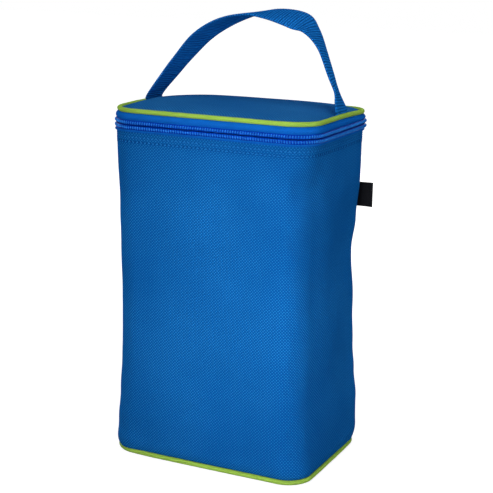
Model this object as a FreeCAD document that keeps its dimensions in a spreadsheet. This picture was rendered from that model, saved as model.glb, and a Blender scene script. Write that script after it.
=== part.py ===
import FreeCAD, Part
import math
import os
import Sketcher

# An insulated cooler bag with a zipped lid and a webbing carry handle, in millimetres.
# +Z is up, the front faces -Y, and the origin is the middle of the underside.
# Both pipings run on one rounded rectangle, the piping line. Every layer of the bag is
# given by its inset from that line, and every level by its height above the floor.

SIZES = (
    ("bag_width", 152.0, "side to side, between the piping lines"),
    ("bag_depth", 108.0, "front to back, between the piping lines"),
    ("bag_height", 247.5, "base piping line to lid piping line"),
    ("corner_radius", 17.5, "upright corners, on the piping line"),
    ("waist_pinch", 3.0, "how far each wall draws in at half height"),
    ("floor_gap", 0.25, "base piping above the floor"),
    ("piping_diameter", 4.5, "corded piping"),
    ("seam_gap", 0.1, "between pieces sewn edge to edge"),
    ("layer_gap", 0.3, "between layers laid on each other"),
    ("fabric_thickness", 0.9, "canvas with its backing"),
    ("foam_thickness", 4.5, "closed-cell foam in walls, base and lid"),
    ("liner_thickness", 0.4, "film liner"),
    ("binding_thickness", 0.8, "seam binding"),
    ("binding_width", 8.0, "binding, on each side of its fold"),
    ("binding_inset", 1.3, "room outside the bindings for the slider"),
    ("zip_drop", 9.5, "lid piping line down to the middle of the chain"),
    ("tape_reach", 4.8, "middle of the chain down to the top of the walls"),
    ("tape_stand", 0.3, "inside of the tape outside the piping line"),
    ("tape_thickness", 0.6, "woven zipper tape"),
    ("chain_width", 6.0, "both coils across"),
    ("chain_gap", 0.8, "between the two halves of the chain"),
    ("coil_thickness", 2.2, "coil, through the chain"),
    ("coil_gap", 0.2, "between coil and tape, and coil and slider"),
    ("tooth_pitch", 1.5, "along the coil"),
    ("tooth_depth", 0.6, "valley between two turns of the coil"),
    ("chain_end_angle", 60.0, "how far the chain goes round the rear corners"),
    ("hinge_width", 97.0, "fabric hinge between the ends of the zipper"),
    ("crown_height", 5.0, "lid pad above the lid piping line"),
    ("webbing_width", 25.0, "handle webbing"),
    ("webbing_thickness", 1.5, "handle webbing"),
    ("handle_setback", 6.5, "handle behind the middle of the bag"),
    ("left_foot_inset", 0.7, "left end of the handle inside the piping line"),
    ("right_foot_inset", 2.0, "right end of the handle inside the piping line"),
    ("handle_left_slope", 50.0, "left leg above the level, degrees"),
    ("handle_right_slope", 67.0, "right leg above the level, degrees"),
    ("handle_left_bend", 84.0, "radius of the long bend, left of the top"),
    ("handle_top_turn", 22.0, "turn just right of the top, degrees"),
    ("handle_top_bend", 60.0, "radius just right of the top"),
    ("handle_right_bend", 32.0, "radius of the tight bend on the right"),
    ("handle_pivot_lift", 17.5, "line where the handle flops, above the lid line"),
    ("slider_setback", 28.0, "slider behind the middle of the bag, zip closed"),
    ("slider_length", 10.5, "along the zip"),
    ("slider_front_width", 9.0, "across the zip, at the wedge"),
    ("slider_rear_width", 7.8, "across the zip, at the closed end"),
    ("slider_plate", 1.2, "each plate of the slider"),
    ("slider_post_width", 0.4, "wedge post between the halves of the chain"),
    ("slider_post_length", 3.0, "wedge post along the zip"),
    ("slider_corner", 1.2, "round corners of the slider's plates"),
    ("bridge_length", 6.4, "bridge that holds the pull, along the zip"),
    ("bridge_width", 2.4, "bridge across the zip"),
    ("bridge_pillar", 1.1, "each foot of the bridge, along the zip"),
    ("bridge_window", 1.9, "height of the window under the bridge"),
    ("bridge_roof", 0.8, "thickness over the window"),
    ("pull_height", 1.0, "pivot of the pull above the slider's face"),
    ("pull_thickness", 1.2, "pull tab and its bar"),
    ("pull_length", 25.0, "pivot to the tip"),
    ("pull_width", 7.0, "pull tab"),
    ("pull_neck_width", 5.4, "pull beside the bridge"),
    ("pull_eye_length", 4.0, "pivot to the far end of the eye"),
    ("pull_eye_width", 3.0, "eye across the zip"),
    ("pull_hole", 2.6, "hole in the tab"),
    ("pull_tip_radius", 2.0, "corners of the tab's tip"),
    ("label_length", 12.5, "folded side label, from its seam"),
    ("label_height", 18.0, "folded side label"),
    ("label_ply", 0.5, "one ply of the label"),
    ("label_level", 179.0, "lower edge of the label"),
    ("label_turn", 15.0, "label turned back from straight sideways, degrees"),
)

doc = FreeCAD.newDocument("cooler_bag")
sheet = doc.addObject("Spreadsheet::Sheet", "sizes")
for row, (alias, value, meaning) in enumerate(SIZES, start=1):
    sheet.set(f"A{row}", alias)
    sheet.set(f"B{row}", str(value))
    sheet.set(f"C{row}", meaning)
    sheet.setAlias(f"B{row}", alias)
doc.recompute()


def number(expression):
    """The value that an expression on the sheet has now."""
    return float(sheet.evalExpression(expression))


# Levels above the floor and insets from the piping line, as expressions on the sheet.
HALF_WIDTH = "sizes.bag_width / 2"
HALF_DEPTH = "sizes.bag_depth / 2"
PIPING_RADIUS = "sizes.piping_diameter / 2"
BASE_LINE = f"(sizes.floor_gap + {PIPING_RADIUS})"
LID_LINE = f"({BASE_LINE} + sizes.bag_height)"
LID_SEAM = f"({LID_LINE} - {PIPING_RADIUS} - sizes.seam_gap)"
WALL_FOOT = f"({BASE_LINE} + {PIPING_RADIUS} + sizes.seam_gap)"
ZIP_LINE = f"({LID_LINE} - sizes.zip_drop)"
WALL_TOP = f"({ZIP_LINE} - sizes.tape_reach)"
BAND_FOOT = f"({WALL_TOP} + sizes.layer_gap)"
BASE_FOAM_LEVEL = "(sizes.fabric_thickness + sizes.layer_gap)"
LINER_LEVEL = f"({BASE_FOAM_LEVEL} + sizes.foam_thickness + sizes.layer_gap)"

FOAM_OUTSIDE = "(sizes.fabric_thickness + sizes.layer_gap)"
FOAM_INSIDE = f"({FOAM_OUTSIDE} + sizes.foam_thickness)"
LINER_OUTSIDE = f"({FOAM_INSIDE} + sizes.layer_gap)"
LINER_INSIDE = f"({LINER_OUTSIDE} + sizes.liner_thickness)"
TAPE_OUTSIDE = "(sizes.tape_stand + sizes.tape_thickness)"
COIL_INSIDE = f"({TAPE_OUTSIDE} + sizes.coil_gap)"
COIL_OUTSIDE = f"({COIL_INSIDE} + sizes.coil_thickness)"


def new_body(label):
    body = doc.addObject("PartDesign::Body", label)
    body.Label = label
    return body


def origin_plane(body, role):
    return next(plane for plane in body.Origin.OriginFeatures if plane.Role == role)


def new_sketch(body, name, role="XY_Plane", level="0"):
    """A sketch on one of the body's own planes, moved along the plane's normal."""
    sketch = body.newObject("Sketcher::SketchObject", name)
    sketch.AttachmentSupport = [(origin_plane(body, role), "")]
    sketch.MapMode = "FlatFace"
    sketch.setExpression("AttachmentOffset.Base.z", level)
    return sketch


def bind(sketch, constraint, name, expression):
    """Adds a dimension to a sketch and ties it to the sheet."""
    index = sketch.addConstraint(constraint)
    sketch.renameConstraint(index, name)
    sketch.setExpression(f"Constraints.{name}", expression)


def draw_loop(sketch, name, inset, pinch="0"):
    """A rectangle with round corners, inset from the piping line.

    The pinch moves the sides in and leaves the corners round as they were.
    """
    half_x = f"({HALF_WIDTH} - {inset} - {pinch})"
    half_y = f"({HALF_DEPTH} - {inset} - {pinch})"
    radius = f"(sizes.corner_radius - {inset})"
    x, y, r = number(half_x), number(half_y), number(radius)
    first = sketch.GeometryCount
    turns = ((x - r, -y + r, -90), (x - r, y - r, 0), (-x + r, y - r, 90), (-x + r, -y + r, 180))
    ends = (
        ((-x + r, -y), (x - r, -y)),
        ((x, -y + r), (x, y - r)),
        ((x - r, y), (-x + r, y)),
        ((-x, y - r), (-x, -y + r)),
    )
    for (start, end), (centre_x, centre_y, angle) in zip(ends, turns):
        line = Part.LineSegment(FreeCAD.Vector(*start, 0), FreeCAD.Vector(*end, 0))
        circle = Part.Circle(FreeCAD.Vector(centre_x, centre_y, 0), FreeCAD.Vector(0, 0, 1), r)
        sketch.addGeometry(line, False)
        arc = Part.ArcOfCircle(circle, math.radians(angle), math.radians(angle + 90))
        sketch.addGeometry(arc, False)
    for side in range(8):
        here, following = first + side, first + (side + 1) % 8
        sketch.addConstraint(Sketcher.Constraint("Tangent", here, 2, following, 1))
    for side, direction in ((0, "Horizontal"), (2, "Vertical"), (4, "Horizontal"), (6, "Vertical")):
        sketch.addConstraint(Sketcher.Constraint(direction, first + side))
    for corner in (3, 5, 7):
        sketch.addConstraint(Sketcher.Constraint("Equal", first + 1, first + corner))
    sketch.addConstraint(Sketcher.Constraint("Symmetric", first, 1, first + 4, 1, -1, 1))
    across = Sketcher.Constraint("DistanceX", first + 6, 1, first + 2, 1, 2 * x)
    along = Sketcher.Constraint("DistanceY", first, 1, first + 4, 1, 2 * y)
    bind(sketch, across, name + "_width", f"2 * {half_x}")
    bind(sketch, along, name + "_depth", f"2 * {half_y}")
    bind(sketch, Sketcher.Constraint("Radius", first + 1, r), name + "_radius", radius)


def draw_polygon(sketch, corners):
    """A closed outline through corners, each a pair of expressions on the sheet."""
    points = [FreeCAD.Vector(number(x), number(y), 0) for x, y in corners]
    first = sketch.GeometryCount
    count = len(points)
    for index in range(count):
        sketch.addGeometry(Part.LineSegment(points[index], points[(index + 1) % count]), False)
    for index in range(count):
        here, following = first + index, first + (index + 1) % count
        sketch.addConstraint(Sketcher.Constraint("Coincident", here, 2, following, 1))
    for index, (x, y) in enumerate(corners):
        place_x = Sketcher.Constraint("DistanceX", -1, 1, first + index, 1, points[index].x)
        place_y = Sketcher.Constraint("DistanceY", -1, 1, first + index, 1, points[index].y)
        bind(sketch, place_x, f"x{first + index}", x)
        bind(sketch, place_y, f"y{first + index}", y)


def draw_rectangle(sketch, left, right, low, high):
    draw_polygon(sketch, ((left, low), (right, low), (right, high), (left, high)))


def pad(body, sketch, name, length, reversed_=False, symmetric=False):
    feature = body.newObject("PartDesign::Pad", name)
    feature.Profile = sketch
    feature.setExpression("Length", length)
    feature.Reversed = reversed_
    if symmetric:
        feature.SideType = "Symmetric"
    return feature


def pocket_up(body, sketch, name):
    """Cuts a sketch of the XY plane upwards through everything."""
    feature = body.newObject("PartDesign::Pocket", name)
    feature.Profile = sketch
    feature.Type = "ThroughAll"
    feature.Reversed = True
    return feature


def loft(body, kind, name, sketches):
    """Joins level outlines by flat bands, as sheet goods bend: never both ways at once."""
    feature = body.newObject(f"PartDesign::{kind}Loft", name)
    feature.Profile = sketches[0]
    feature.Sections = sketches[1:]
    feature.Ruled = True
    return feature


# ---------------------------------------------------------------- walls and their layers
WALL_BANDS = 4


def draw_in(share):
    """How far a wall draws in at this share of its height, of the most: a parabola."""
    return 4 * share * (1 - share)


def wall_pinch(share):
    """The draw-in of the flat bands at any share of the height, as an expression.

    The bands' chords lie under the parabola, so it is the lowest of their straight lines.
    """
    lines = []
    for band in range(WALL_BANDS):
        start = band / WALL_BANDS
        slope = (draw_in(start + 1 / WALL_BANDS) - draw_in(start)) * WALL_BANDS
        lines.append(f"({draw_in(start)} + {slope} * ({share} - {start}))")
    return f"(sizes.waist_pinch * min({'; '.join(lines)}))"


def wall_sketches(body, name, inset, foot):
    """Outlines of one face of a wall layer, foot to top."""
    sketches = []
    for band in range(WALL_BANDS + 1):
        share = band / WALL_BANDS
        level = f"({foot} + ({WALL_TOP} - {foot}) * {share})"
        sketch = new_sketch(body, f"{name}_{band}", level=level)
        draw_loop(sketch, "edge", inset, f"sizes.waist_pinch * {draw_in(share)}")
        sketches.append(sketch)
    return sketches


def wall_tube(label, outside, inside, foot, floor_thickness=None):
    """A wall layer all the way round, open below unless it has a floor."""
    body = new_body(label)
    loft(body, "Additive", label + "_outer", wall_sketches(body, label + "_out", outside, foot))
    inner_foot = foot if floor_thickness is None else f"({foot} + {floor_thickness})"
    inner = wall_sketches(body, label + "_in", inside, inner_foot)
    loft(body, "Subtractive", label + "_inner", inner)
    return body


fabric_tube = wall_tube("fabric_tube", "0", "sizes.fabric_thickness", WALL_FOOT)
foam_tube = wall_tube("foam_tube", FOAM_OUTSIDE, FOAM_INSIDE, LINER_LEVEL)
body_liner = wall_tube(
    "body_liner", LINER_OUTSIDE, LINER_INSIDE, LINER_LEVEL, "sizes.liner_thickness"
)

CENTRE_X = f"({HALF_WIDTH} - sizes.corner_radius)"
CENTRE_Y = f"({HALF_DEPTH} - sizes.corner_radius)"
FAR_X = f"({CENTRE_X} + sizes.bag_depth)"
FAR_Y = f"({CENTRE_Y} + sizes.bag_depth)"
MITRES = {
    "front": ((-1, -1), (1, -1)),
    "right": ((1, -1), (1, 1)),
    "back": ((1, 1), (-1, 1)),
    "left": ((-1, 1), (-1, -1)),
}


def mitre_block(side):
    """The upright wedge that holds one wall, mitred at 45 degrees through its corners."""
    body = new_body("mitre_" + side)
    sketch = new_sketch(body, "mitre_outline_" + side)
    (start_x, start_y), (end_x, end_y) = MITRES[side]
    corners = (
        (f"{start_x} * {CENTRE_X}", f"{start_y} * {CENTRE_Y}"),
        (f"{start_x} * {FAR_X}", f"{start_y} * {FAR_Y}"),
        (f"{end_x} * {FAR_X}", f"{end_y} * {FAR_Y}"),
        (f"{end_x} * {CENTRE_X}", f"{end_y} * {CENTRE_Y}"),
    )
    draw_polygon(sketch, corners)
    pad(body, sketch, "mitre_pad_" + side, LID_LINE)
    return body


mitres = {side: mitre_block(side) for side in MITRES}


def boolean(kind, label, base, tool):
    feature = doc.addObject("Part::" + kind, label)
    feature.Label = label
    feature.Base = base
    feature.Tool = tool
    return feature


foam_walls = [boolean("Common", "foam_" + side, foam_tube, mitres[side]) for side in MITRES]
outer_back_panel = boolean("Common", "outer_back_panel", fabric_tube, mitres["back"])
outer_wrap_panel = boolean("Cut", "outer_wrap_panel", fabric_tube, mitres["back"])


# ---------------------------------------------------------------- flat sheets
def flat_sheet(label, inset, level, thickness):
    body = new_body(label)
    sketch = new_sketch(body, label + "_outline", level=level)
    draw_loop(sketch, "edge", inset)
    pad(body, sketch, label + "_pad", thickness)
    return body


outer_base_panel = flat_sheet("outer_base_panel", PIPING_RADIUS, "0", "sizes.fabric_thickness")
foam_base = flat_sheet(
    "foam_base", f"({PIPING_RADIUS} + sizes.layer_gap)", BASE_FOAM_LEVEL, "sizes.foam_thickness"
)


# ---------------------------------------------------------------- pipings
CORD_SIDES = 12


def cord_section(body, name, role, place, level):
    """The piping's section, upright on a side plane: a regular polygon, to keep faces few."""
    section = new_sketch(body, name, role, "0" if role == "XZ_Plane" else CENTRE_X)
    centre = FreeCAD.Vector(number(place), number(level), 0)
    circle = Part.Circle(centre, FreeCAD.Vector(0, 0, 1), number(PIPING_RADIUS))
    section.addGeometry(circle, True)
    bind(section, Sketcher.Constraint("Radius", 0, circle.Radius), "radius", PIPING_RADIUS)
    along = Sketcher.Constraint("DistanceX", -1, 1, 0, 3, centre.x)
    bind(section, along, "place", place)
    bind(section, Sketcher.Constraint("DistanceY", -1, 1, 0, 3, centre.y), "height", level)
    turns = [2 * math.pi * side / CORD_SIDES for side in range(CORD_SIDES)]
    marks = [circle.value(turn) for turn in turns]
    for side in range(CORD_SIDES):
        following = marks[(side + 1) % CORD_SIDES]
        section.addGeometry(Part.LineSegment(marks[side], following), False)
    for side in range(1, CORD_SIDES + 1):
        following = side % CORD_SIDES + 1
        section.addConstraint(Sketcher.Constraint("Coincident", side, 2, following, 1))
        section.addConstraint(Sketcher.Constraint("PointOnObject", side, 1, 0))
    for side in range(2, CORD_SIDES + 1):
        section.addConstraint(Sketcher.Constraint("Equal", 1, side))
    section.addConstraint(Sketcher.Constraint("Horizontal", 0, 3, 1, 1))
    return section


def piping(label, level):
    """A cord once round the piping line: one front quarter, mirrored twice."""
    body = new_body(label)
    front = cord_section(body, label + "_front", "YZ_Plane", f"-1 * {HALF_DEPTH}", level)
    pad(body, front, label + "_front_run", CENTRE_X, reversed_=True)
    corner = cord_section(body, label + "_corner", "YZ_Plane", f"-1 * {HALF_DEPTH}", level)
    turning_point = FreeCAD.Vector(-number(CENTRE_Y), 0, 0)
    up = FreeCAD.Vector(0, 1, 0)
    axis = corner.addGeometry(Part.LineSegment(turning_point, turning_point + up), True)
    corner.addConstraint(Sketcher.Constraint("Vertical", axis))
    corner.addConstraint(Sketcher.Constraint("PointOnObject", axis, 1, -1))
    corner.addConstraint(Sketcher.Constraint("DistanceY", axis, 1, axis, 2, 1))
    turn_place = Sketcher.Constraint("DistanceX", -1, 1, axis, 1, turning_point.x)
    bind(corner, turn_place, "turn", f"-1 * {CENTRE_Y}")
    turn = body.newObject("PartDesign::Revolution", label + "_turn")
    turn.Profile = corner
    turn.ReferenceAxis = (corner, ["Axis0"])
    turn.Angle = 90
    side = cord_section(body, label + "_side", "XZ_Plane", HALF_WIDTH, level)
    pad(body, side, label + "_side_run", CENTRE_Y)
    all_quarters = body.newObject("PartDesign::MultiTransform", label + "_quarters")
    all_quarters.Originals = [item for item in body.Group if item.TypeId in CORD_FEATURES]
    mirrors = []
    for role in ("XZ_Plane", "YZ_Plane"):
        mirror = body.newObject("PartDesign::Mirrored", f"{label}_{role[:2].lower()}")
        mirror.MirrorPlane = (origin_plane(body, role), [""])
        mirrors.append(mirror)
    all_quarters.Transformations = mirrors
    body.Tip = all_quarters
    return body


CORD_FEATURES = ("PartDesign::Pad", "PartDesign::Revolution")
base_piping = piping("base_piping", BASE_LINE)
lid_piping = piping("lid_piping", LID_LINE)


# ---------------------------------------------------------------- bindings
def add_ring(body, name, outside, inside, level, height):
    sketch = new_sketch(body, name + "_outline", level=level)
    draw_loop(sketch, "outside", outside)
    draw_loop(sketch, "inside", inside)
    pad(body, sketch, name + "_pad", height)


# The wall leans in this much at the lower edge of the mouth binding.
BINDING_DEPTH = f"(sizes.binding_width / ({WALL_TOP} - {LINER_LEVEL}))"
BINDING_LEAN = wall_pinch(f"(1 - {BINDING_DEPTH})")
BINDING_OUTSIDE = f"({LINER_INSIDE} + sizes.layer_gap + {BINDING_LEAN})"
BINDING_INSIDE = f"({BINDING_OUTSIDE} + sizes.binding_thickness)"

mouth_binding = new_body("mouth_binding")
add_ring(
    mouth_binding,
    "mouth_rim",
    "sizes.binding_inset",
    BINDING_INSIDE,
    BAND_FOOT,
    "sizes.binding_thickness",
)
add_ring(
    mouth_binding,
    "mouth_skirt",
    BINDING_OUTSIDE,
    BINDING_INSIDE,
    f"({WALL_TOP} - sizes.binding_width)",
    "(sizes.binding_width + sizes.layer_gap + sizes.binding_thickness)",
)

# ---------------------------------------------------------------- lid
LID_FLANGE_INSIDE = "(sizes.binding_inset + sizes.binding_width)"
LID_LEG_INSIDE = "(sizes.binding_inset + sizes.binding_thickness)"
PAD_INSET = f"({PIPING_RADIUS} + sizes.seam_gap)"
LID_FOAM_DROP = "(sizes.fabric_thickness + sizes.layer_gap)"
LID_FOAM_FOOT = f"({LID_LINE} - sizes.foam_thickness)"
LID_LINER_LEVEL = f"({LID_FOAM_FOOT} - sizes.layer_gap - sizes.liner_thickness)"
LID_BINDING_LEVEL = f"({LID_LINER_LEVEL} - sizes.layer_gap - sizes.binding_thickness)"

CROWN_EDGE = "sizes.fabric_thickness"
CROWN_RISE = f"(sizes.crown_height - {CROWN_EDGE})"


def arch_pocket(body, name, role, half_span, drop):
    """Takes away what lies over a shallow arch that spans the lid one way."""
    edge_level = f"({LID_LINE} + {CROWN_EDGE} - {drop})"
    radius = f"(({half_span} ^ 2 + {CROWN_RISE} ^ 2) / (2 * {CROWN_RISE}))"
    ceiling = f"({LID_LINE} + 2 * sizes.crown_height)"
    span, edge, rise = number(half_span), number(edge_level), number(CROWN_RISE)
    left, right = FreeCAD.Vector(-span, edge, 0), FreeCAD.Vector(span, edge, 0)
    high_left = FreeCAD.Vector(-span, number(ceiling), 0)
    high_right = FreeCAD.Vector(span, number(ceiling), 0)
    sketch = new_sketch(body, name + "_outline", role)
    arch = Part.Arc(right, FreeCAD.Vector(0, edge + rise, 0), left)
    sketch.addGeometry(arch, False)
    for start, end in ((left, high_left), (high_left, high_right), (high_right, right)):
        sketch.addGeometry(Part.LineSegment(start, end), False)
    for index in range(3):
        sketch.addConstraint(Sketcher.Constraint("Coincident", index, 2, index + 1, 1))
    sketch.addConstraint(Sketcher.Constraint("Coincident", 3, 2, 0, 1))
    sketch.addConstraint(Sketcher.Constraint("Symmetric", 0, 2, 0, 1, -2))
    sketch.addConstraint(Sketcher.Constraint("Vertical", 1))
    sketch.addConstraint(Sketcher.Constraint("Horizontal", 2))
    across = Sketcher.Constraint("DistanceX", 0, 2, 0, 1, 2 * span)
    bind(sketch, across, "span", f"2 * {half_span}")
    bind(sketch, Sketcher.Constraint("DistanceY", -1, 1, 0, 2, edge), "edge", edge_level)
    top = Sketcher.Constraint("DistanceY", -1, 1, 1, 2, high_left.y)
    bind(sketch, top, "ceiling", ceiling)
    bind(sketch, Sketcher.Constraint("Radius", 0, number(radius)), "radius", radius)
    pocket = body.newObject("PartDesign::Pocket", name)
    pocket.Profile = sketch
    pocket.SideType = "Symmetric"
    pocket.setExpression("Length", "2 * sizes.bag_width + 2 * sizes.bag_depth")


def crowned_block(label, inset, foot, drop):
    """A block under the lid's crown: two crossing arches, lowered by the drop."""
    body = new_body(label)
    sketch = new_sketch(body, label + "_outline", level=foot)
    draw_loop(sketch, "edge", inset)
    pad(body, sketch, label + "_pad", f"({LID_LINE} + sizes.crown_height - {foot})")
    half_width, half_depth = f"({HALF_WIDTH} - {PAD_INSET})", f"({HALF_DEPTH} - {PAD_INSET})"
    arch_pocket(body, label + "_arch_across", "XZ_Plane", half_width, drop)
    arch_pocket(body, label + "_arch_along", "YZ_Plane", half_depth, drop)
    return body


lid_top_outside = crowned_block("lid_top_outside", PAD_INSET, LID_LINE, "0")
lid_top_inside = crowned_block(
    "lid_top_inside",
    f"({PAD_INSET} + sizes.fabric_thickness)",
    f"({LID_LINE} - sizes.layer_gap)",
    "sizes.fabric_thickness",
)
lid_top_panel = boolean("Cut", "lid_top_panel", lid_top_outside, lid_top_inside)
lid_foam = crowned_block(
    "lid_foam", f"({PAD_INSET} + {LID_FOAM_DROP})", LID_FOAM_FOOT, LID_FOAM_DROP
)

lid_liner = flat_sheet(
    "lid_liner",
    f"({LID_LEG_INSIDE} + sizes.layer_gap)",
    LID_LINER_LEVEL,
    "sizes.liner_thickness",
)

lid_binding = new_body("lid_binding")
add_ring(
    lid_binding,
    "lid_flange",
    "sizes.binding_inset",
    LID_FLANGE_INSIDE,
    LID_BINDING_LEVEL,
    "sizes.binding_thickness",
)
add_ring(
    lid_binding,
    "lid_leg",
    "sizes.binding_inset",
    LID_LEG_INSIDE,
    LID_BINDING_LEVEL,
    f"({LID_SEAM} - sizes.layer_gap - {LID_BINDING_LEVEL})",
)


# ---------------------------------------------------------------- hinge strip and zipper
def bound_box(label, corner, lengths):
    """A plain cut strip: its low corner and its three lengths are expressions."""
    box = doc.addObject("Part::Box", label)
    box.Label = label
    for axis, expression in zip("xyz", corner):
        box.setExpression(f"Placement.Base.{axis}", expression)
    for side, expression in zip(("Length", "Width", "Height"), lengths):
        box.setExpression(side, expression)
    return box


back_hinge_strip = bound_box(
    "back_hinge_strip",
    ("-sizes.hinge_width / 2", f"{HALF_DEPTH} - sizes.fabric_thickness", BAND_FOOT),
    ("sizes.hinge_width", "sizes.fabric_thickness", f"{LID_SEAM} - {BAND_FOOT}"),
)


def zipper_tape(label, foot, top):
    """The tape goes round three sides and both rear corners, up to the hinge strip."""
    body = new_body(label)
    height = f"({top} - {foot})"
    add_ring(body, label, f"(-1 * {TAPE_OUTSIDE})", "(-1 * sizes.tape_stand)", foot, height)
    opening = new_sketch(body, label + "_opening")
    half = "(sizes.hinge_width / 2 + sizes.layer_gap)"
    draw_rectangle(opening, "-1 * " + half, half, "0", "sizes.bag_depth")
    pocket_up(body, opening, label + "_cut")
    return body


CHAIN_LOW = f"({ZIP_LINE} - sizes.chain_gap / 2)"
CHAIN_HIGH = f"({ZIP_LINE} + sizes.chain_gap / 2)"
lower_zipper_tape = zipper_tape("lower_zipper_tape", BAND_FOOT, CHAIN_LOW)
upper_zipper_tape = zipper_tape("upper_zipper_tape", CHAIN_HIGH, LID_SEAM)


class ZipperLine:
    """The way round the bag that the chain takes, from one rear corner to the other."""

    def __init__(self, offset):
        corner = number("sizes.corner_radius")
        end_angle = number("sizes.chain_end_angle")
        self.radius = corner + offset
        self.x, self.y = number(CENTRE_X), number(CENTRE_Y)
        turns = (
            (-self.x, self.y, 180 - end_angle, 180),
            (-self.x, -self.y, 180, 270),
            (self.x, -self.y, 270, 360),
            (self.x, self.y, 0, end_angle),
        )
        self.pieces = []
        for index, (centre_x, centre_y, start, end) in enumerate(turns):
            centre = FreeCAD.Vector(centre_x, centre_y, 0)
            self.pieces.append((centre, start, end))
            if index < 3:
                self.pieces.append((2 * self.y, 2 * self.x, 2 * self.y)[index])

    def lengths(self):
        spans = []
        for piece in self.pieces:
            if isinstance(piece, tuple):
                spans.append(self.radius * math.radians(piece[2] - piece[1]))
            else:
                spans.append(piece)
        return spans

    def on_arc(self, piece, share, offset):
        centre, start, end = piece
        angle = math.radians(start + (end - start) * share)
        reach = self.radius + offset
        return centre + FreeCAD.Vector(math.cos(angle), math.sin(angle), 0) * reach

    def point(self, distance, offset):
        """The point this far along the way, moved outwards by the offset."""
        spans = self.lengths()
        index = 0
        while index < len(spans) - 1 and distance > spans[index]:
            distance -= spans[index]
            index += 1
        share = distance / spans[index]
        if isinstance(self.pieces[index], tuple):
            return self.on_arc(self.pieces[index], share, offset)
        before = self.on_arc(self.pieces[index - 1], 1, offset)
        after = self.on_arc(self.pieces[index + 1], 0, offset)
        return before + (after - before) * share

    def smooth_edges(self, offset):
        """The same way as true arcs and straights, in order."""
        edges = []
        for index, piece in enumerate(self.pieces):
            if isinstance(piece, tuple):
                marks = [self.on_arc(piece, share, offset) for share in (0, 0.5, 1)]
                edges.append(Part.Arc(*marks).toShape())
            else:
                before = self.on_arc(self.pieces[index - 1], 1, offset)
                after = self.on_arc(self.pieces[index + 1], 0, offset)
                edges.append(Part.LineSegment(before, after).toShape())
        return edges


def zipper_coil(label, foot, height):
    """Half a coil chain: a smooth back on the tape and one ridge for each turn outside."""
    line = ZipperLine(number(COIL_INSIDE))
    thickness = number("sizes.coil_thickness")
    length = sum(line.lengths())
    turns = round(length / number("sizes.tooth_pitch"))
    step = length / (2 * turns)
    valley = thickness - number("sizes.tooth_depth")
    ridges = []
    for index in range(2 * turns + 1):
        ridges.append(line.point(index * step, thickness if index % 2 else valley))
    back = line.smooth_edges(0)
    starts = Part.LineSegment(back[0].Vertexes[0].Point, ridges[0]).toShape()
    ends = Part.LineSegment(ridges[-1], back[-1].Vertexes[-1].Point).toShape()
    front = Part.makePolygon(ridges).Edges
    outline = Part.Wire(Part.__sortEdges__(back + [ends] + front + [starts]))
    coil = doc.addObject("Part::Feature", label)
    coil.Label = label
    coil.Shape = Part.Face(outline).extrude(FreeCAD.Vector(0, 0, height))
    coil.Placement = FreeCAD.Placement(FreeCAD.Vector(0, 0, foot), FreeCAD.Rotation())
    return coil


COIL_HEIGHT = "((sizes.chain_width - sizes.chain_gap) / 2)"
coil_height = number(COIL_HEIGHT)
lower_zipper_coil = zipper_coil("lower_zipper_coil", number(CHAIN_LOW) - coil_height, coil_height)
upper_zipper_coil = zipper_coil("upper_zipper_coil", number(CHAIN_HIGH), coil_height)


# ---------------------------------------------------------------- handle
def webbing_path():
    """The handle's middle line: two straight legs joined by three tangent bends.

    The bends turn from the left leg's slope to the right leg's, and the legs take up
    whatever length brings the line down onto both of its feet.
    """
    foot_level = number(LID_LINE) + number(PIPING_RADIUS) + number("sizes.seam_gap")
    left = FreeCAD.Vector(-number(HALF_WIDTH) + number("sizes.left_foot_inset"), 0, foot_level)
    right = FreeCAD.Vector(number(HALF_WIDTH) - number("sizes.right_foot_inset"), 0, foot_level)
    slopes = [
        number("sizes.handle_left_slope"),
        0.0,
        -number("sizes.handle_top_turn"),
        -number("sizes.handle_right_slope"),
    ]
    bends = [number(f"sizes.handle_{name}_bend") for name in ("left", "top", "right")]

    def heading(slope):
        return FreeCAD.Vector(math.cos(math.radians(slope)), 0, math.sin(math.radians(slope)))

    def bend_chord(radius, start, end):
        half = math.radians(start - end) / 2
        return heading((start + end) / 2) * (2 * radius * math.sin(half))

    chords = [bend_chord(bends[k], slopes[k], slopes[k + 1]) for k in range(3)]
    rest = right - left - chords[0] - chords[1] - chords[2]
    rise, fall = heading(slopes[0]), heading(slopes[3])
    cross = rise.x * fall.z - rise.z * fall.x
    left_leg = (rest.x * fall.z - rest.z * fall.x) / cross
    right_leg = (rise.x * rest.z - rise.z * rest.x) / cross
    edges = []
    here = left
    there = here + rise * left_leg
    edges.append(Part.LineSegment(here, there).toShape())
    for k in range(3):
        here = there
        middle_slope = (slopes[k] + slopes[k + 1]) / 2
        middle = here + bend_chord(bends[k], slopes[k], middle_slope)
        there = here + chords[k]
        edges.append(Part.Arc(here, middle, there).toShape())
    edges.append(Part.LineSegment(there, right).toShape())
    print(f"handle: legs {left_leg:.1f} and {right_leg:.1f} mm long")
    return Part.Wire(edges)


def webbing_solid():
    """The whole strap, as one band across the bag."""
    path = webbing_path()
    half = number("sizes.webbing_thickness") / 2
    width = number("sizes.webbing_width")
    start = path.Edges[0]
    along = start.tangentAt(start.FirstParameter)
    upwards = FreeCAD.Vector(-along.z, 0, along.x)
    foot = start.Vertexes[0].Point
    corners = []
    for side, edge in ((-1, -1), (1, -1), (1, 1), (-1, 1)):
        corners.append(foot + upwards * (half * side) + FreeCAD.Vector(0, width / 2 * edge, 0))
    profile = Part.makePolygon(corners + [corners[0]])
    band = path.makePipeShell([profile], True, False)
    band.translate(FreeCAD.Vector(0, number("sizes.handle_setback"), 0))
    return band, path


webbing, webbing_line = webbing_solid()
handle_webbing = doc.addObject("Part::Feature", "handle_webbing")
handle_webbing.Shape = webbing

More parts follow.
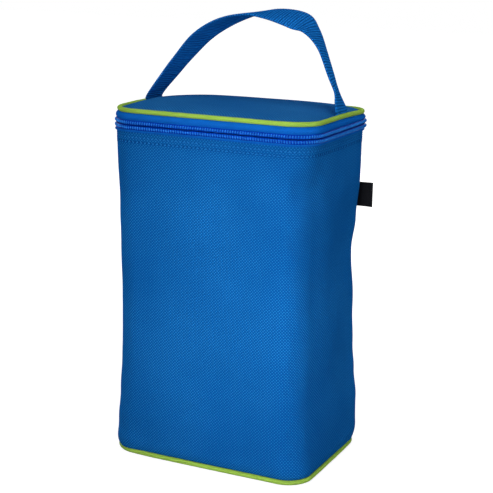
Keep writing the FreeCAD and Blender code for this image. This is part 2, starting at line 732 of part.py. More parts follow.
FOOT_LEVEL = f"({LID_LINE} + {PIPING_RADIUS} + sizes.seam_gap)"
PIVOT_LIFT = f"(sizes.handle_pivot_lift - {PIPING_RADIUS} - sizes.seam_gap)"
LEFT_PIVOT_X = (
    f"(-{HALF_WIDTH} + sizes.left_foot_inset + {PIVOT_LIFT} / tan(sizes.handle_left_slope * 1 deg))"
)
RIGHT_PIVOT_X = (
    f"({HALF_WIDTH} - sizes.right_foot_inset - {PIVOT_LIFT} / tan(sizes.handle_right_slope * 1 deg))"
)
HALF_GAP = "(sizes.layer_gap / 2)"


def webbing_piece(label, start, end, ceiling):
    """The part of the strap between two upright planes across it."""
    block = bound_box(
        label + "_block",
        (start, "-sizes.bag_depth", FOOT_LEVEL),
        (f"{end} - {start}", "2 * sizes.bag_depth", ceiling),
    )
    return boolean("Common", label, handle_webbing, block)


handle_end_left = webbing_piece(
    "handle_end_left", "-sizes.bag_width", f"({LEFT_PIVOT_X} - {HALF_GAP})", "sizes.bag_width"
)
handle_end_right = webbing_piece(
    "handle_end_right", f"({RIGHT_PIVOT_X} + {HALF_GAP})", "sizes.bag_width", "sizes.bag_width"
)
handle_strap = webbing_piece(
    "handle_strap",
    f"({LEFT_PIVOT_X} + {HALF_GAP})",
    f"({RIGHT_PIVOT_X} - {HALF_GAP})",
    "sizes.bag_width",
)

# ---------------------------------------------------------------- slider
# The slider runs on the left side, so it is drawn in the upright plane across that side:
# its length is along Y, its width is along Z, and outwards is -X.
COIL_FACE = f"(-{HALF_WIDTH} - {COIL_OUTSIDE})"
PLATE_INSIDE = f"({COIL_FACE} - sizes.coil_gap)"
PLATE_FACE = f"({PLATE_INSIDE} - sizes.slider_plate)"
BACK_FACE = f"(-{HALF_WIDTH} - sizes.tape_stand + sizes.seam_gap)"
SLIDER_FRONT = "(sizes.slider_setback - sizes.slider_length / 2)"
SLIDER_REAR = "(sizes.slider_setback + sizes.slider_length / 2)"


def draw_slider_plate(sketch):
    front, rear = "sizes.slider_front_width / 2", "sizes.slider_rear_width / 2"
    corners = (
        (SLIDER_FRONT, f"{ZIP_LINE} - {front}"),
        (SLIDER_REAR, f"{ZIP_LINE} - {rear}"),
        (SLIDER_REAR, f"{ZIP_LINE} + {rear}"),
        (SLIDER_FRONT, f"{ZIP_LINE} + {front}"),
    )
    draw_polygon(sketch, corners)


zipper_slider = new_body("zipper_slider")
outer_plate = new_sketch(zipper_slider, "slider_outer", "YZ_Plane", PLATE_INSIDE)
draw_slider_plate(outer_plate)
pad(zipper_slider, outer_plate, "slider_outer_plate", "sizes.slider_plate", reversed_=True)

post = new_sketch(zipper_slider, "slider_post", "YZ_Plane", PLATE_INSIDE)
half_post = "sizes.slider_post_width / 2"
draw_rectangle(
    post,
    SLIDER_FRONT,
    f"{SLIDER_FRONT} + sizes.slider_post_length",
    f"{ZIP_LINE} - {half_post}",
    f"{ZIP_LINE} + {half_post}",
)
pad(zipper_slider, post, "slider_wedge", f"{BACK_FACE} - {PLATE_INSIDE}")

inner_plate = new_sketch(zipper_slider, "slider_inner", "YZ_Plane", BACK_FACE)
draw_slider_plate(inner_plate)
PLATE_ROOM = "(sizes.binding_inset + sizes.tape_stand - sizes.seam_gap - sizes.layer_gap)"
pad(zipper_slider, inner_plate, "slider_inner_plate", f"min(sizes.slider_plate; {PLATE_ROOM})")

# Only the body's half of the chain has a flange round it, so the lid's half can lift away.
flange = new_sketch(zipper_slider, "slider_flange", "YZ_Plane", PLATE_INSIDE)
FLANGE_TOP = f"({CHAIN_LOW} - {COIL_HEIGHT} - sizes.coil_gap)"
draw_polygon(
    flange,
    (
        (SLIDER_FRONT, f"{ZIP_LINE} - sizes.slider_front_width / 2"),
        (SLIDER_REAR, f"{ZIP_LINE} - sizes.slider_rear_width / 2"),
        (SLIDER_REAR, FLANGE_TOP),
        (SLIDER_FRONT, FLANGE_TOP),
    ),
)
pad(zipper_slider, flange, "slider_lower_flange", "sizes.coil_thickness + sizes.coil_gap")

bridge = new_sketch(zipper_slider, "slider_bridge", "XY_Plane", ZIP_LINE)
BRIDGE_TOP = f"({PLATE_FACE} - sizes.bridge_window - sizes.bridge_roof)"
WINDOW_TOP = f"({PLATE_FACE} - sizes.bridge_window)"
BRIDGE_FRONT = "(sizes.slider_setback - sizes.bridge_length / 2)"
BRIDGE_REAR = "(sizes.slider_setback + sizes.bridge_length / 2)"
draw_polygon(
    bridge,
    (
        (PLATE_FACE, BRIDGE_FRONT),
        (BRIDGE_TOP, BRIDGE_FRONT),
        (BRIDGE_TOP, BRIDGE_REAR),
        (PLATE_FACE, BRIDGE_REAR),
        (PLATE_FACE, f"{BRIDGE_REAR} - sizes.bridge_pillar"),
        (WINDOW_TOP, f"{BRIDGE_REAR} - sizes.bridge_pillar"),
        (WINDOW_TOP, f"{BRIDGE_FRONT} + sizes.bridge_pillar"),
        (PLATE_FACE, f"{BRIDGE_FRONT} + sizes.bridge_pillar"),
    ),
)
pad(zipper_slider, bridge, "slider_bridge_pad", "sizes.bridge_width", symmetric=True)
doc.recompute()


def edges_along(body, direction, test):
    """Names of the straight edges of a body that run this way and pass the test."""
    names = []
    for index, edge in enumerate(body.Shape.Edges, start=1):
        straight = isinstance(edge.Curve, Part.Line)
        if straight and abs(edge.tangentAt(edge.FirstParameter).dot(direction)) > 0.999:
            if test(edge.CenterOfMass):
                names.append(f"Edge{index}")
    return names


def round_edges(body, name, edges, radius):
    base = body.Tip
    fillet = body.newObject("PartDesign::Fillet", name)
    fillet.Base = (base, edges)
    fillet.setExpression("Radius", radius)
    doc.recompute()


X_AXIS, Z_AXIS = FreeCAD.Vector(1, 0, 0), FreeCAD.Vector(0, 0, 1)
bridge_crest = number(BRIDGE_TOP)
slider_middle = number("sizes.slider_setback")
slider_half = number("sizes.slider_length") / 2
zip_level = number(ZIP_LINE)
crest_ends = edges_along(
    zipper_slider, Z_AXIS, lambda middle: abs(middle.x - bridge_crest) < 0.01
)
round_edges(zipper_slider, "bridge_ends", crest_ends, "sizes.bridge_pillar")
plate_corners = edges_along(
    zipper_slider,
    X_AXIS,
    lambda middle: abs(abs(middle.y - slider_middle) - slider_half) < 0.01
    and (middle.z > zip_level or middle.x < number(PLATE_INSIDE))
    and abs(middle.z - zip_level) > number("sizes.slider_post_width"),
)
round_edges(zipper_slider, "plate_corners", plate_corners, "sizes.slider_corner")

# ---------------------------------------------------------------- pull
PIVOT_X = f"({PLATE_FACE} - sizes.pull_height)"
HALF_BAR = "sizes.pull_thickness / 2"
TAB_START = "(sizes.slider_setback - sizes.pull_eye_length - sizes.pull_thickness)"
TIP = "(sizes.slider_setback - sizes.pull_length)"

zipper_pull = new_body("zipper_pull")
pull_outline = new_sketch(zipper_pull, "pull_outline", "YZ_Plane", PIVOT_X)
NECK_LOW = f"({ZIP_LINE} - sizes.pull_neck_width / 2)"
NECK_HIGH = f"({ZIP_LINE} + sizes.pull_neck_width / 2)"
TAB_LOW = f"({ZIP_LINE} - sizes.pull_width / 2)"
TAB_HIGH = f"({ZIP_LINE} + sizes.pull_width / 2)"
SHOULDER = f"({TAB_START} - sizes.pull_width / 2)"
draw_polygon(
    pull_outline,
    (
        (f"sizes.slider_setback + {HALF_BAR}", NECK_LOW),
        (f"sizes.slider_setback + {HALF_BAR}", NECK_HIGH),
        (TAB_START, NECK_HIGH),
        (SHOULDER, TAB_HIGH),
        (TIP, TAB_HIGH),
        (TIP, TAB_LOW),
        (SHOULDER, TAB_LOW),
        (TAB_START, NECK_LOW),
    ),
)
draw_rectangle(
    pull_outline,
    "sizes.slider_setback - sizes.pull_eye_length",
    f"sizes.slider_setback - {HALF_BAR}",
    f"{ZIP_LINE} - sizes.pull_eye_width / 2",
    f"{ZIP_LINE} + sizes.pull_eye_width / 2",
)
draw_rectangle(
    pull_outline,
    f"{TIP} + sizes.pull_width / 2 - sizes.pull_hole / 2",
    f"{TIP} + sizes.pull_width / 2 + sizes.pull_hole / 2",
    f"{ZIP_LINE} - sizes.pull_hole / 2",
    f"{ZIP_LINE} + sizes.pull_hole / 2",
)
pad(zipper_pull, pull_outline, "pull_pad", "sizes.pull_thickness", symmetric=True)
doc.recompute()
pull_tip = number(TIP)
tip_corners = edges_along(zipper_pull, X_AXIS, lambda middle: middle.y < pull_tip + 0.01)
round_edges(zipper_pull, "pull_tip_corners", tip_corners, "sizes.pull_tip_radius")

# ---------------------------------------------------------------- side label
# The label is one ribbon folded in two, and its cut ends are caught in the rear right seam.
LABEL_TOP_SHARE = (
    f"((sizes.label_level + sizes.label_height - {WALL_FOOT}) / ({WALL_TOP} - {WALL_FOOT}))"
)
LABEL_PINCH = wall_pinch(LABEL_TOP_SHARE)
SEAM_REACH = "((sizes.corner_radius + sizes.layer_gap + sizes.label_ply) * cos(45 deg))"
PLY_OUTSIDE = "(sizes.label_ply + sizes.layer_gap / 2)"
PLY_INSIDE = "(sizes.layer_gap / 2)"
FOLD_INSIDE = "(sizes.label_length - sizes.label_ply)"

side_label = new_body("side_label")
ribbon = new_sketch(side_label, "label_ribbon")
draw_polygon(
    ribbon,
    (
        ("0", f"-1 * {PLY_OUTSIDE}"),
        ("sizes.label_length", f"-1 * {PLY_OUTSIDE}"),
        ("sizes.label_length", PLY_OUTSIDE),
        ("0", PLY_OUTSIDE),
        ("0", PLY_INSIDE),
        (FOLD_INSIDE, PLY_INSIDE),
        (FOLD_INSIDE, f"-1 * {PLY_INSIDE}"),
        ("0", f"-1 * {PLY_INSIDE}"),
    ),
)
pad(side_label, ribbon, "label_pad", "sizes.label_height")
doc.recompute()
fold_edge = number("sizes.label_length")
fold_corners = edges_along(side_label, Z_AXIS, lambda middle: middle.x > fold_edge - 0.01)
round_edges(side_label, "label_fold", fold_corners, "sizes.label_ply")
side_label.setExpression("Placement.Base.x", f"{CENTRE_X} - {LABEL_PINCH} + {SEAM_REACH}")
side_label.setExpression("Placement.Base.y", f"{CENTRE_Y} - {LABEL_PINCH} + {SEAM_REACH}")
side_label.setExpression("Placement.Base.z", "sizes.label_level")
side_label.setExpression("Placement.Rotation.Angle", "sizes.label_turn * 1 deg")

# ---------------------------------------------------------------- checks and export
NODES = [outer_wrap_panel, outer_back_panel, outer_base_panel, base_piping, side_label]
NODES += foam_walls + [foam_base, body_liner, mouth_binding]
NODES += [lid_top_panel, lid_piping, lid_foam, lid_liner, lid_binding, back_hinge_strip]
NODES += [lower_zipper_tape, lower_zipper_coil, upper_zipper_tape, upper_zipper_coil]
NODES += [handle_end_left, handle_end_right, handle_strap, zipper_slider, zipper_pull]

doc.recompute()
for item in doc.Objects:
    if "Invalid" in item.State or "Error" in item.State:
        raise RuntimeError(f"{item.Name} did not build: {item.State}")
for node in NODES:
    if node.Shape.isNull() or not node.Shape.isValid() or len(node.Shape.Solids) != 1:
        raise RuntimeError(f"{node.Label} is not one valid solid")

os.makedirs("parts", exist_ok=True)
for node in NODES:
    node.Shape.exportStep(f"parts/{node.Label}.step")
    print(f"{node.Label}: {node.Shape.Volume:.0f} mm3")
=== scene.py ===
# %% [markdown]
# # An insulated cooler bag, dressed
# The bag's working model comes first: every piece at its real size, with the joints that
# let the lid open and the handle flop. This lesson hangs cloth, cord and thread on that
# frame. Each step says what the piece is on a real bag and why it is made this way.

# %% Load the frame
import math

import bmesh
import bpy
import numpy as np
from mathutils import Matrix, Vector, noise


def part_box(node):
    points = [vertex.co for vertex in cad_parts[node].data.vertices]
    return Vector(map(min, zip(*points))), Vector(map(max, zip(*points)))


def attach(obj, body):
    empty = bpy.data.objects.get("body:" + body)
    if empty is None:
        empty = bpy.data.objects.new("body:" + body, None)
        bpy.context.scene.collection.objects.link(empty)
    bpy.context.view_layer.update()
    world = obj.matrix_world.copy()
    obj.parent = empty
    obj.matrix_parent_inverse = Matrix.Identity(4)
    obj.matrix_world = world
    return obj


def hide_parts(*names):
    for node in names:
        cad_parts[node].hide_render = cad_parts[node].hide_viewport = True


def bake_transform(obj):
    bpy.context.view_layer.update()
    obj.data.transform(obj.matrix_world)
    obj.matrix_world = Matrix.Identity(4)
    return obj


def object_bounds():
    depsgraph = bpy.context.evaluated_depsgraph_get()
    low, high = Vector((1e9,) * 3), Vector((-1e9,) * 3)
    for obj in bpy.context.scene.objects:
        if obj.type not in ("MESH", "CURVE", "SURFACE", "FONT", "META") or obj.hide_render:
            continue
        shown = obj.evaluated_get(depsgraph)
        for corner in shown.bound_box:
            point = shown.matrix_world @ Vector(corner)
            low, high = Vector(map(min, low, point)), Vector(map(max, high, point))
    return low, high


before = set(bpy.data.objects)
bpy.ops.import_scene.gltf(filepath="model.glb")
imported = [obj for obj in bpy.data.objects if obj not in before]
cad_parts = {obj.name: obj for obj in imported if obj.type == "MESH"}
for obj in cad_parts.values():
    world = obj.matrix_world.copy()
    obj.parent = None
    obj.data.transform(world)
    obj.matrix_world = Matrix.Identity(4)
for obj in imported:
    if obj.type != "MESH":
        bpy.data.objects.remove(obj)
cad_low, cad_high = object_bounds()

MM = 0.001


def add_object(name, data):
    """Puts data into the scene as a new object."""
    added = bpy.data.objects.new(name, data)
    bpy.context.scene.collection.objects.link(added)
    return added


print("nodes in the frame:", len(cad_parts))
print("size in millimetres:", [round(side / MM, 1) for side in cad_high - cad_low])

# %% [markdown]
# ## The camera
# The camera stands well back and has a long lens, so that upright edges stay nearly
# parallel. It looks at the middle of the bag from the right of its front and a little
# above. Azimuth, elevation and roll are turned into three axes by hand, because the small
# roll is easy to lose in a track-to constraint.

# %% Place the camera
CAMERA_AZIMUTH = math.radians(25.53)
CAMERA_ELEVATION = math.radians(13.72)
CAMERA_ROLL = math.radians(1.02)
CAMERA_DISTANCE = 0.93
CAMERA_LENS = 94.94
LOOK_AT = Vector((0.0064, -0.0007, 0.1512))

level_right = Vector((math.cos(CAMERA_AZIMUTH), math.sin(CAMERA_AZIMUTH), 0))
backwards = Vector((math.sin(CAMERA_AZIMUTH), -math.cos(CAMERA_AZIMUTH), 0))
backwards = backwards * math.cos(CAMERA_ELEVATION) + Vector((0, 0, math.sin(CAMERA_ELEVATION)))
level_up = backwards.cross(level_right)
camera_right = level_right * math.cos(CAMERA_ROLL) + level_up * math.sin(CAMERA_ROLL)
camera_up = backwards.cross(camera_right)

camera = add_object("camera", bpy.data.cameras.new("camera"))
camera.data.lens = CAMERA_LENS
camera.rotation_mode = "QUATERNION"
turn = camera.matrix_world.to_3x3()
for axis, direction in enumerate((camera_right, camera_up, backwards)):
    turn.col[axis] = direction
camera.rotation_quaternion = turn.to_quaternion()
camera.location = LOOK_AT + backwards * CAMERA_DISTANCE
bpy.context.scene.camera = camera
print("camera at", [round(value, 3) for value in camera.location])

# %% [markdown]
# ## Node boards
# Materials and Geometry Nodes are both boards of nodes. One small class adds a node to
# either board: first its settings, then the values or links of its sockets. A socket is
# wrapped in a class that knows plus, minus and times, so shader maths reads like Python
# and still becomes ordinary Math nodes that anyone can open in the editor.

# %% A board of nodes, and a socket that can do sums
class Field:
    """A socket on a board; Python operators on it add Math nodes."""

    def __init__(self, board, socket):
        self.board, self.socket = board, socket

    def math(self, operation, *others):
        return self.board.node("ShaderNodeMath", {"operation": operation}, (self, *others))

    def __add__(self, other):
        return self.math("ADD", other)

    def __sub__(self, other):
        return self.math("SUBTRACT", other)

    def __rsub__(self, other):
        return self.board.node("ShaderNodeMath", {"operation": "SUBTRACT"}, (other, self))

    def __mul__(self, other):
        return self.math("MULTIPLY", other)

    def __truediv__(self, other):
        return self.math("DIVIDE", other)

    def __pow__(self, other):
        return self.math("POWER", other)

    __radd__ = __add__
    __rmul__ = __mul__

    def whole(self):
        return self.math("FLOOR")

    def part(self):
        return self.math("FRACT")

    def size(self):
        return self.math("ABSOLUTE")

    def above(self, level):
        return self.math("GREATER_THAN", level)

    def clamped(self):
        """The same, kept between 0 and 1."""
        return self.math("MINIMUM", 1.0).math("MAXIMUM", 0.0)

    def arch(self):
        """Each unit becomes one round hump, from 0 up to 1 and back."""
        return (self.part() * math.pi).math("SINE")


class Board:
    """Adds nodes to one tree."""

    def __init__(self, tree):
        self.tree = tree

    def node(self, kind, settings=None, values=(), out=0):
        """Adds a node: its settings first, then the values or links of its sockets."""
        node = self.tree.nodes.new(kind)
        for key, value in (settings or {}).items():
            setattr(node, key, value)
        pairs = values.items() if isinstance(values, dict) else enumerate(values)
        for key, value in pairs:
            self.put(node.inputs[key], value)
        return None if out is None else Field(self, node.outputs[out])

    def put(self, socket, value):
        if isinstance(value, Field):
            self.tree.links.new(value.socket, socket)
        elif value is not None:
            socket.default_value = value


print("what a socket can do:", [name for name in vars(Field) if not name.startswith("_")])

# %% [markdown]
# ## Finishes
# A finish is a material with one Principled shader. Numbers that are the same all over
# the surface are set straight on the shader. Whatever changes from place to place goes
# through nodes and feeds only what can be baked later: colour, roughness, metal, coat,
# glow or bump.

# %% The finish class, and colours as a screen shows them
def shade(red, green, blue):
    """A screen colour, 0 to 255, as the light values that shaders use."""
    values = []
    for value in (red, green, blue):
        value /= 255
        values.append(value / 12.92 if value <= 0.04045 else ((value + 0.055) / 1.055) ** 2.4)
    return (*values, 1.0)


class Finish(Board):
    """One material."""

    def __init__(self, name, **constants):
        self.material = bpy.data.materials.new(name)
        self.material.use_nodes = True
        super().__init__(self.material.node_tree)
        self.shader = self.tree.nodes["Principled BSDF"]
        for socket, value in constants.items():
            self.shader.inputs[socket.replace("_", " ")].default_value = value

    def place(self):
        """Coordinates on the object, in metres."""
        return self.node("ShaderNodeTexCoord", out=3)

    def yarns(self, place, pitch_across, pitch_along):
        """The first two coordinates of a place, counted in yarns of these pitches."""
        across, along = [self.node("ShaderNodeSeparateXYZ", values=(place,), out=k) for k in (0, 1)]
        return across / pitch_across, along / pitch_along

    def cloth_map(self, pitch_across, pitch_along):
        """The piece's own cloth coordinates, in yarns of these pitches in mm."""
        return self.yarns(self.node("ShaderNodeUVMap", {"uv_map": "cloth"}), pitch_across, pitch_along)

    def level_map(self, pitch):
        """Level coordinates on the object, in yarns, for cloth that lies flat."""
        return self.yarns(self.place(), pitch * MM, pitch * MM)

    def mottle(self, scale, detail=2.0):
        """Soft random patches on object coordinates, 0 to 1."""
        values = {"Vector": self.place(), "Scale": scale, "Detail": detail}
        return self.node("ShaderNodeTexNoise", values=values)

    def mix(self, first, second, share):
        return self.node("ShaderNodeMix", {"data_type": "RGBA"}, {0: share, 6: first, 7: second}, 2)

    def colour(self, value):
        self.put(self.shader.inputs["Base Color"], value)

    def roughness(self, value):
        self.put(self.shader.inputs["Roughness"], value)

    def bump(self, height, depth, strength=1.0):
        """Raises the surface by up to this depth in mm."""
        values = {"Strength": strength, "Distance": depth * MM, "Height": height}
        self.put(self.shader.inputs["Normal"], self.node("ShaderNodeBump", values=values))

    def surface(self, dark, light, share, rough, relief, depth, strength):
        """Mixes two colours by a share, which also raises the roughness, and adds a bump."""
        self.colour(self.mix(shade(*dark), shade(*light), share))
        lowest, rise = rough
        self.roughness(lowest + rise * share)
        self.bump(relief, depth, strength)
        return self.material


print("mid grey as light:", round(shade(128, 128, 128)[0], 3))

# %% [markdown]
# ### Canvas
# The bag's cloth is a coarse polyester canvas in a plain weave: each yarn goes over one
# and under the next. The weave is used twice, as a height for the bump and as a colour:
# the gaps between yarns get painted shade and the crowns a painted highlight. Crosswise
# crowns get a brighter painted sheen than upright ones, which gives the cloth its fine
# chequer. The walls' canvas also has painted shade in the needle holes of its hem, and all
# the canvas has random darker patches of painted shade. The canvas of the lid and the base
# lies level, so it is woven on level coordinates, and its colours are greyer, a painted sheen.

# %% Weaves
def plain_weave(across, along):
    """The height of a plain weave, 0 to 1, and a mask of the crosswise yarns on top."""
    over = ((across.whole() + along.whole()) * 0.5).part() * 2
    upright_hump, crosswise_hump = across.arch(), along.arch()
    upright = (upright_hump ** 0.7) * (0.6 + 0.4 * crosswise_hump)
    crosswise = (crosswise_hump ** 0.7) * (0.6 + 0.4 * upright_hump)
    return upright * (1 - over) + crosswise * over, over


def twill_weave(across, along):
    """Slanting ribs, as on bias tape and ribbon."""
    return (across + along).arch() * (0.75 + 0.25 * along.arch())


CANVAS_PITCH = 1.1
CANVAS_DEPTH = 0.22
STITCH_PITCH = 3.1
STITCH_LEVELS = (232.0, 228.7)
# the gaps with painted shade, the yarns, and the crosswise crowns with painted sheen
WALL_COLOURS = shade(1, 50, 122), shade(12, 96, 174), shade(44, 142, 216)
# the lid's and base's colours are greyer: a painted sheen
LID_SHEEN_COLOURS = shade(20, 62, 118), shade(32, 104, 170), shade(54, 138, 202)
# the first of these blues is painted shade, in random darker patches
# the second of these blues is painted shade in the needle holes
PATCH_SHADE_BLUE, NEEDLE_SHADE_BLUE = shade(4, 74, 146), shade(0, 44, 110)


def needle_hole_shade(finish):
    """Painted shade in the needle holes, where the topstitching dips into the hem, on the cloth's own map,
    0 to 1.
    """
    place, level = finish.cloth_map(STITCH_PITCH, 1.0)
    upper, lower = [(1.15 - (level - row).size()).math("MAXIMUM", 0.0) for row in STITCH_LEVELS]
    return (upper * 0.3 + lower) * (place.arch() ** 2.0)


def canvas_finish(name, on_lid=False):
    finish = Finish(name, Specular_IOR_Level=0.0, Metallic=0.07, Specular_Tint=(0.1, 0.4, 0.9, 1.0))
    if on_lid:
        across, along = finish.level_map(CANVAS_PITCH)
    else:
        across, along = finish.cloth_map(CANVAS_PITCH, CANVAS_PITCH)
    gap_shade, yarn, crown_sheen = LID_SHEEN_COLOURS if on_lid else WALL_COLOURS
    slub = (finish.mottle(420, 1.0) - 0.5) * 0.35
    height, over = plain_weave(across + slub, along + slub)
    # random patches of painted shade, which also vary the roughness
    shade_and_rough_patches = finish.mottle(14, 3.0)
    # the gaps get painted shade and the crosswise crowns a painted sheen
    body = finish.mix(finish.mix(gap_shade, yarn, height), crown_sheen, over * height * 0.8)
    if not on_lid:
        # painted shade in the needle holes between the stitches
        body = finish.mix(body, NEEDLE_SHADE_BLUE, needle_hole_shade(finish).math("MINIMUM", 0.85))
    finish.colour(finish.mix(body, PATCH_SHADE_BLUE, (shade_and_rough_patches * 4 - 1.5).clamped() * 0.35))
    finish.roughness(0.42 + 0.12 * shade_and_rough_patches)
    finish.bump(height + 0.4 * finish.mottle(900, 1.0), CANVAS_DEPTH)
    return finish.material


canvas = canvas_finish("canvas")
# level canvas for the lid and the base, greyer with painted sheen
level_sheen_canvas = canvas_finish("level_sheen_canvas", on_lid=True)
print("canvas yarns per centimetre:", round(10 / CANVAS_PITCH, 1))

# %% [markdown]
# ### Piping, tape, webbing and the small cloths
# Piping is a soft cord wrapped in a strip cut on the slant, so its ribs run at an angle.
# Zipper tape is a fine herringbone. Webbing is woven thick, with strong ribs across it.
# Each gets its own weave at its own scale; they would look like plastic without it.

# %% Narrow cloths
def herringbone(across, along):
    lean = (along * 0.25).part().above(0.5) * 2 - 1
    return (across + along * lean).arch()


def ribs_across(across, along):
    """Strong ribs across the strap, every other one deeper, each crossed by finer yarns."""
    fine = 0.5 + 0.5 * (across + along.whole() * 0.5).arch()
    return (along.arch() ** 0.8) * fine * (0.6 + 0.4 * (along * 0.5).arch())


def narrow_cloth(name, dark, light, pitch, depth, weave, rough):
    """A woven strip; pitch is across and along it, and depth is its weave's, all in mm."""
    finish = Finish(name, Specular_IOR_Level=0.0)
    height = weave(*finish.cloth_map(*pitch))
    worn = finish.mottle(60)
    # the weave's hollows get the dark colour and its raised yarns the light one: painted shade and painted
    # highlight
    finish.colour(finish.mix(shade(*dark), shade(*light), (height ** 0.7) * (0.75 + 0.35 * worn)))
    finish.roughness(rough + 0.15 * worn)
    finish.bump(height, depth, 0.8)
    return finish.material


NARROW_CLOTHS = (
    # name, dark and light colour (painted shade in the weave's hollows, painted highlight on its raised
    # yarns), pitch, depth, weave, roughness
    ("piping_cloth", (118, 160, 46), (172, 210, 92), (0.6, 0.6), 0.08, twill_weave, 0.55),
    ("tape_cloth", (4, 64, 150), (20, 108, 206), (0.45, 0.6), 0.07, herringbone, 0.5),
    ("webbing_cloth", (0, 38, 104), (30, 132, 226), (1.2, 1.9), 0.3, ribs_across, 0.55),
    ("binding_cloth", (8, 60, 120), (24, 96, 168), (0.5, 1.1), 0.12, ribs_across, 0.6),
    ("label_cloth", (6, 6, 8), (30, 31, 35), (0.3, 0.3), 0.04, twill_weave, 0.4),
)
narrow = [narrow_cloth(*row) for row in NARROW_CLOTHS]
piping_cloth, tape_cloth, webbing_cloth, binding_cloth, label_cloth = narrow
print("narrow cloths:", len(narrow))

# %% [markdown]
# ### Nylon, thread, film, foam and paint
# The zipper's coil is a nylon wire, smooth and dyed a little unevenly, with hardly any
# shine. The liner is a soft pale film with fine wrinkles. Foam has pores. The slider is
# cast metal under near-black satin paint, which is worn through in spots.

# %% Smooth finishes
def nylon_finish(name, dark, light):
    finish = Finish(name, Specular_IOR_Level=0.02)
    relief = finish.mottle(2500, 1.0)
    return finish.surface(dark, light, finish.mottle(300), (0.3, 0.2), relief, 0.03, 0.4)


def thread_finish():
    finish = Finish("blue_thread", Specular_IOR_Level=0.0)
    values = {"Vector": finish.place(), "Scale": 900.0, "Distortion": 2.0}
    twist = finish.node("ShaderNodeTexWave", {"bands_direction": "DIAGONAL"}, values, 1)
    # the thread's colour follows its twist: darker in the grooves between plies, painted shade
    return finish.surface((14, 92, 174), (48, 138, 212), twist, (0.45, 0.2), twist, 0.05, 0.5)


def film_finish():
    finish = Finish("liner_film", Specular_IOR_Level=0.5)
    creases = finish.mottle(90, 4.0)
    # the film's colour follows its creases: darker in their hollows, painted shade
    return finish.surface((206, 210, 214), (236, 238, 240), creases, (0.3, 0.2), creases, 0.5, 0.5)


def foam_finish():
    finish = Finish("foam_cells", Specular_IOR_Level=0.2)
    pores = finish.node("ShaderNodeTexVoronoi", values={"Vector": finish.place(), "Scale": 900.0})
    # darker in the pits of the pores: painted shade
    return finish.surface((196, 198, 200), (238, 239, 240), pores, (0.8, 0.1), pores, 0.3, 0.6)


def lacquer_finish():
    """Satin paint; where it is worn, bare metal shows without the coat."""
    finish = Finish("slider_lacquer", Coat_Roughness=0.3, Specular_IOR_Level=0.2)
    worn = finish.mottle(260, 4.0).above(0.68)
    finish.put(finish.shader.inputs["Metallic"], worn)
    finish.put(finish.shader.inputs["Coat Weight"], 0.15 - 0.15 * worn)
    relief = finish.mottle(1200)
    return finish.surface((38, 39, 43), (120, 122, 126), worn, (0.32, 0.15), relief, 0.05, 0.3)


coil_nylon = nylon_finish("coil_nylon", (14, 92, 192), (54, 146, 232))
# the core's darker blue is painted shade under and between the turns
coil_shade = nylon_finish("coil_shade", (0, 50, 156), (4, 64, 182))
blue_thread = thread_finish()
liner_film = film_finish()
foam_cells = foam_finish()
slider_lacquer = lacquer_finish()
print("finishes in all:", len(bpy.data.materials))

# %% [markdown]
# ## Making pieces
# Sizes and places are in millimetres from here on, as a bag maker would give them, and
# are turned into metres when a mesh is made. Every sheet of the bag is a grid of points
# with cloth coordinates, so its weave keeps its real scale however the sheet bends.

# %% Grids into pieces
def span(*nodes):
    """Lowest and highest corner of these working pieces, in millimetres."""
    lows, highs = zip(*(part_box(node) for node in nodes))
    return np.min(lows, axis=0) / MM, np.max(highs, axis=0) / MM


def mesh_piece(name, points, faces):
    """A piece from points in millimetres."""
    mesh = bpy.data.meshes.new(name)
    mesh.from_pydata((np.asarray(points, float) * MM).tolist(), [], faces)
    mesh.polygons.foreach_set("use_smooth", [True] * len(mesh.polygons))
    return add_object(name, mesh)


def grid_piece(name, points, across, along, loop_across=False, loop_along=False):
    """A sheet from points[row][column], with its cloth coordinates along both edges.

    A looped direction joins its last line to its first, and has one coordinate more.
    """
    points = np.asarray(points, float)
    rows, columns = points.shape[:2]
    row_range = np.arange(rows if loop_along else rows - 1)
    column_range = np.arange(columns if loop_across else columns - 1)
    i, j = (grid.ravel() for grid in np.meshgrid(row_range, column_range, indexing="ij"))
    corners = ((i, j), (i, j + 1), (i + 1, j + 1), (i + 1, j))
    faces = np.stack([(a % rows) * columns + b % columns for a, b in corners], axis=1)
    piece = mesh_piece(name, points.reshape(-1, 3), faces.tolist())
    cloth = np.zeros((len(faces), 4, 2))
    for corner, (a, b) in enumerate(corners):
        cloth[:, corner, 0] = np.asarray(across)[b]
        cloth[:, corner, 1] = np.asarray(along)[a]
    piece.data.uv_layers.new(name="cloth").data.foreach_set("uv", cloth.ravel())
    return piece


def close_up(piece, fill_ends=False):
    """Merges doubled points, fills open ends, and turns every face outwards."""
    work = bmesh.new()
    work.from_mesh(piece.data)
    bmesh.ops.remove_doubles(work, verts=work.verts, dist=0.001 * MM)
    if fill_ends:
        bmesh.ops.holes_fill(work, edges=work.edges)
    bmesh.ops.recalc_face_normals(work, faces=work.faces)
    work.to_mesh(piece.data)
    work.free()
    return piece


def bake_modifiers(piece):
    """Applies a piece's modifiers, so that its mesh is final."""
    graph = bpy.context.evaluated_depsgraph_get()
    mesh = bpy.data.meshes.new_from_object(piece.evaluated_get(graph))
    piece.modifiers.clear()
    piece.data = mesh
    return piece


def thicken(piece, thickness):
    """Gives a sheet its thickness, inwards from the face that was drawn."""
    wall = piece.modifiers.new("thickness", "SOLIDIFY")
    wall.thickness, wall.offset = thickness * MM, -1
    return close_up(bake_modifiers(piece))


def dress(piece, finish, body, slot, *nodes):
    """Hands a finished piece to the frame."""
    piece.data.materials.clear()
    piece.data.materials.append(finish)
    if body:
        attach(piece, body)
    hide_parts(*nodes)
    return piece


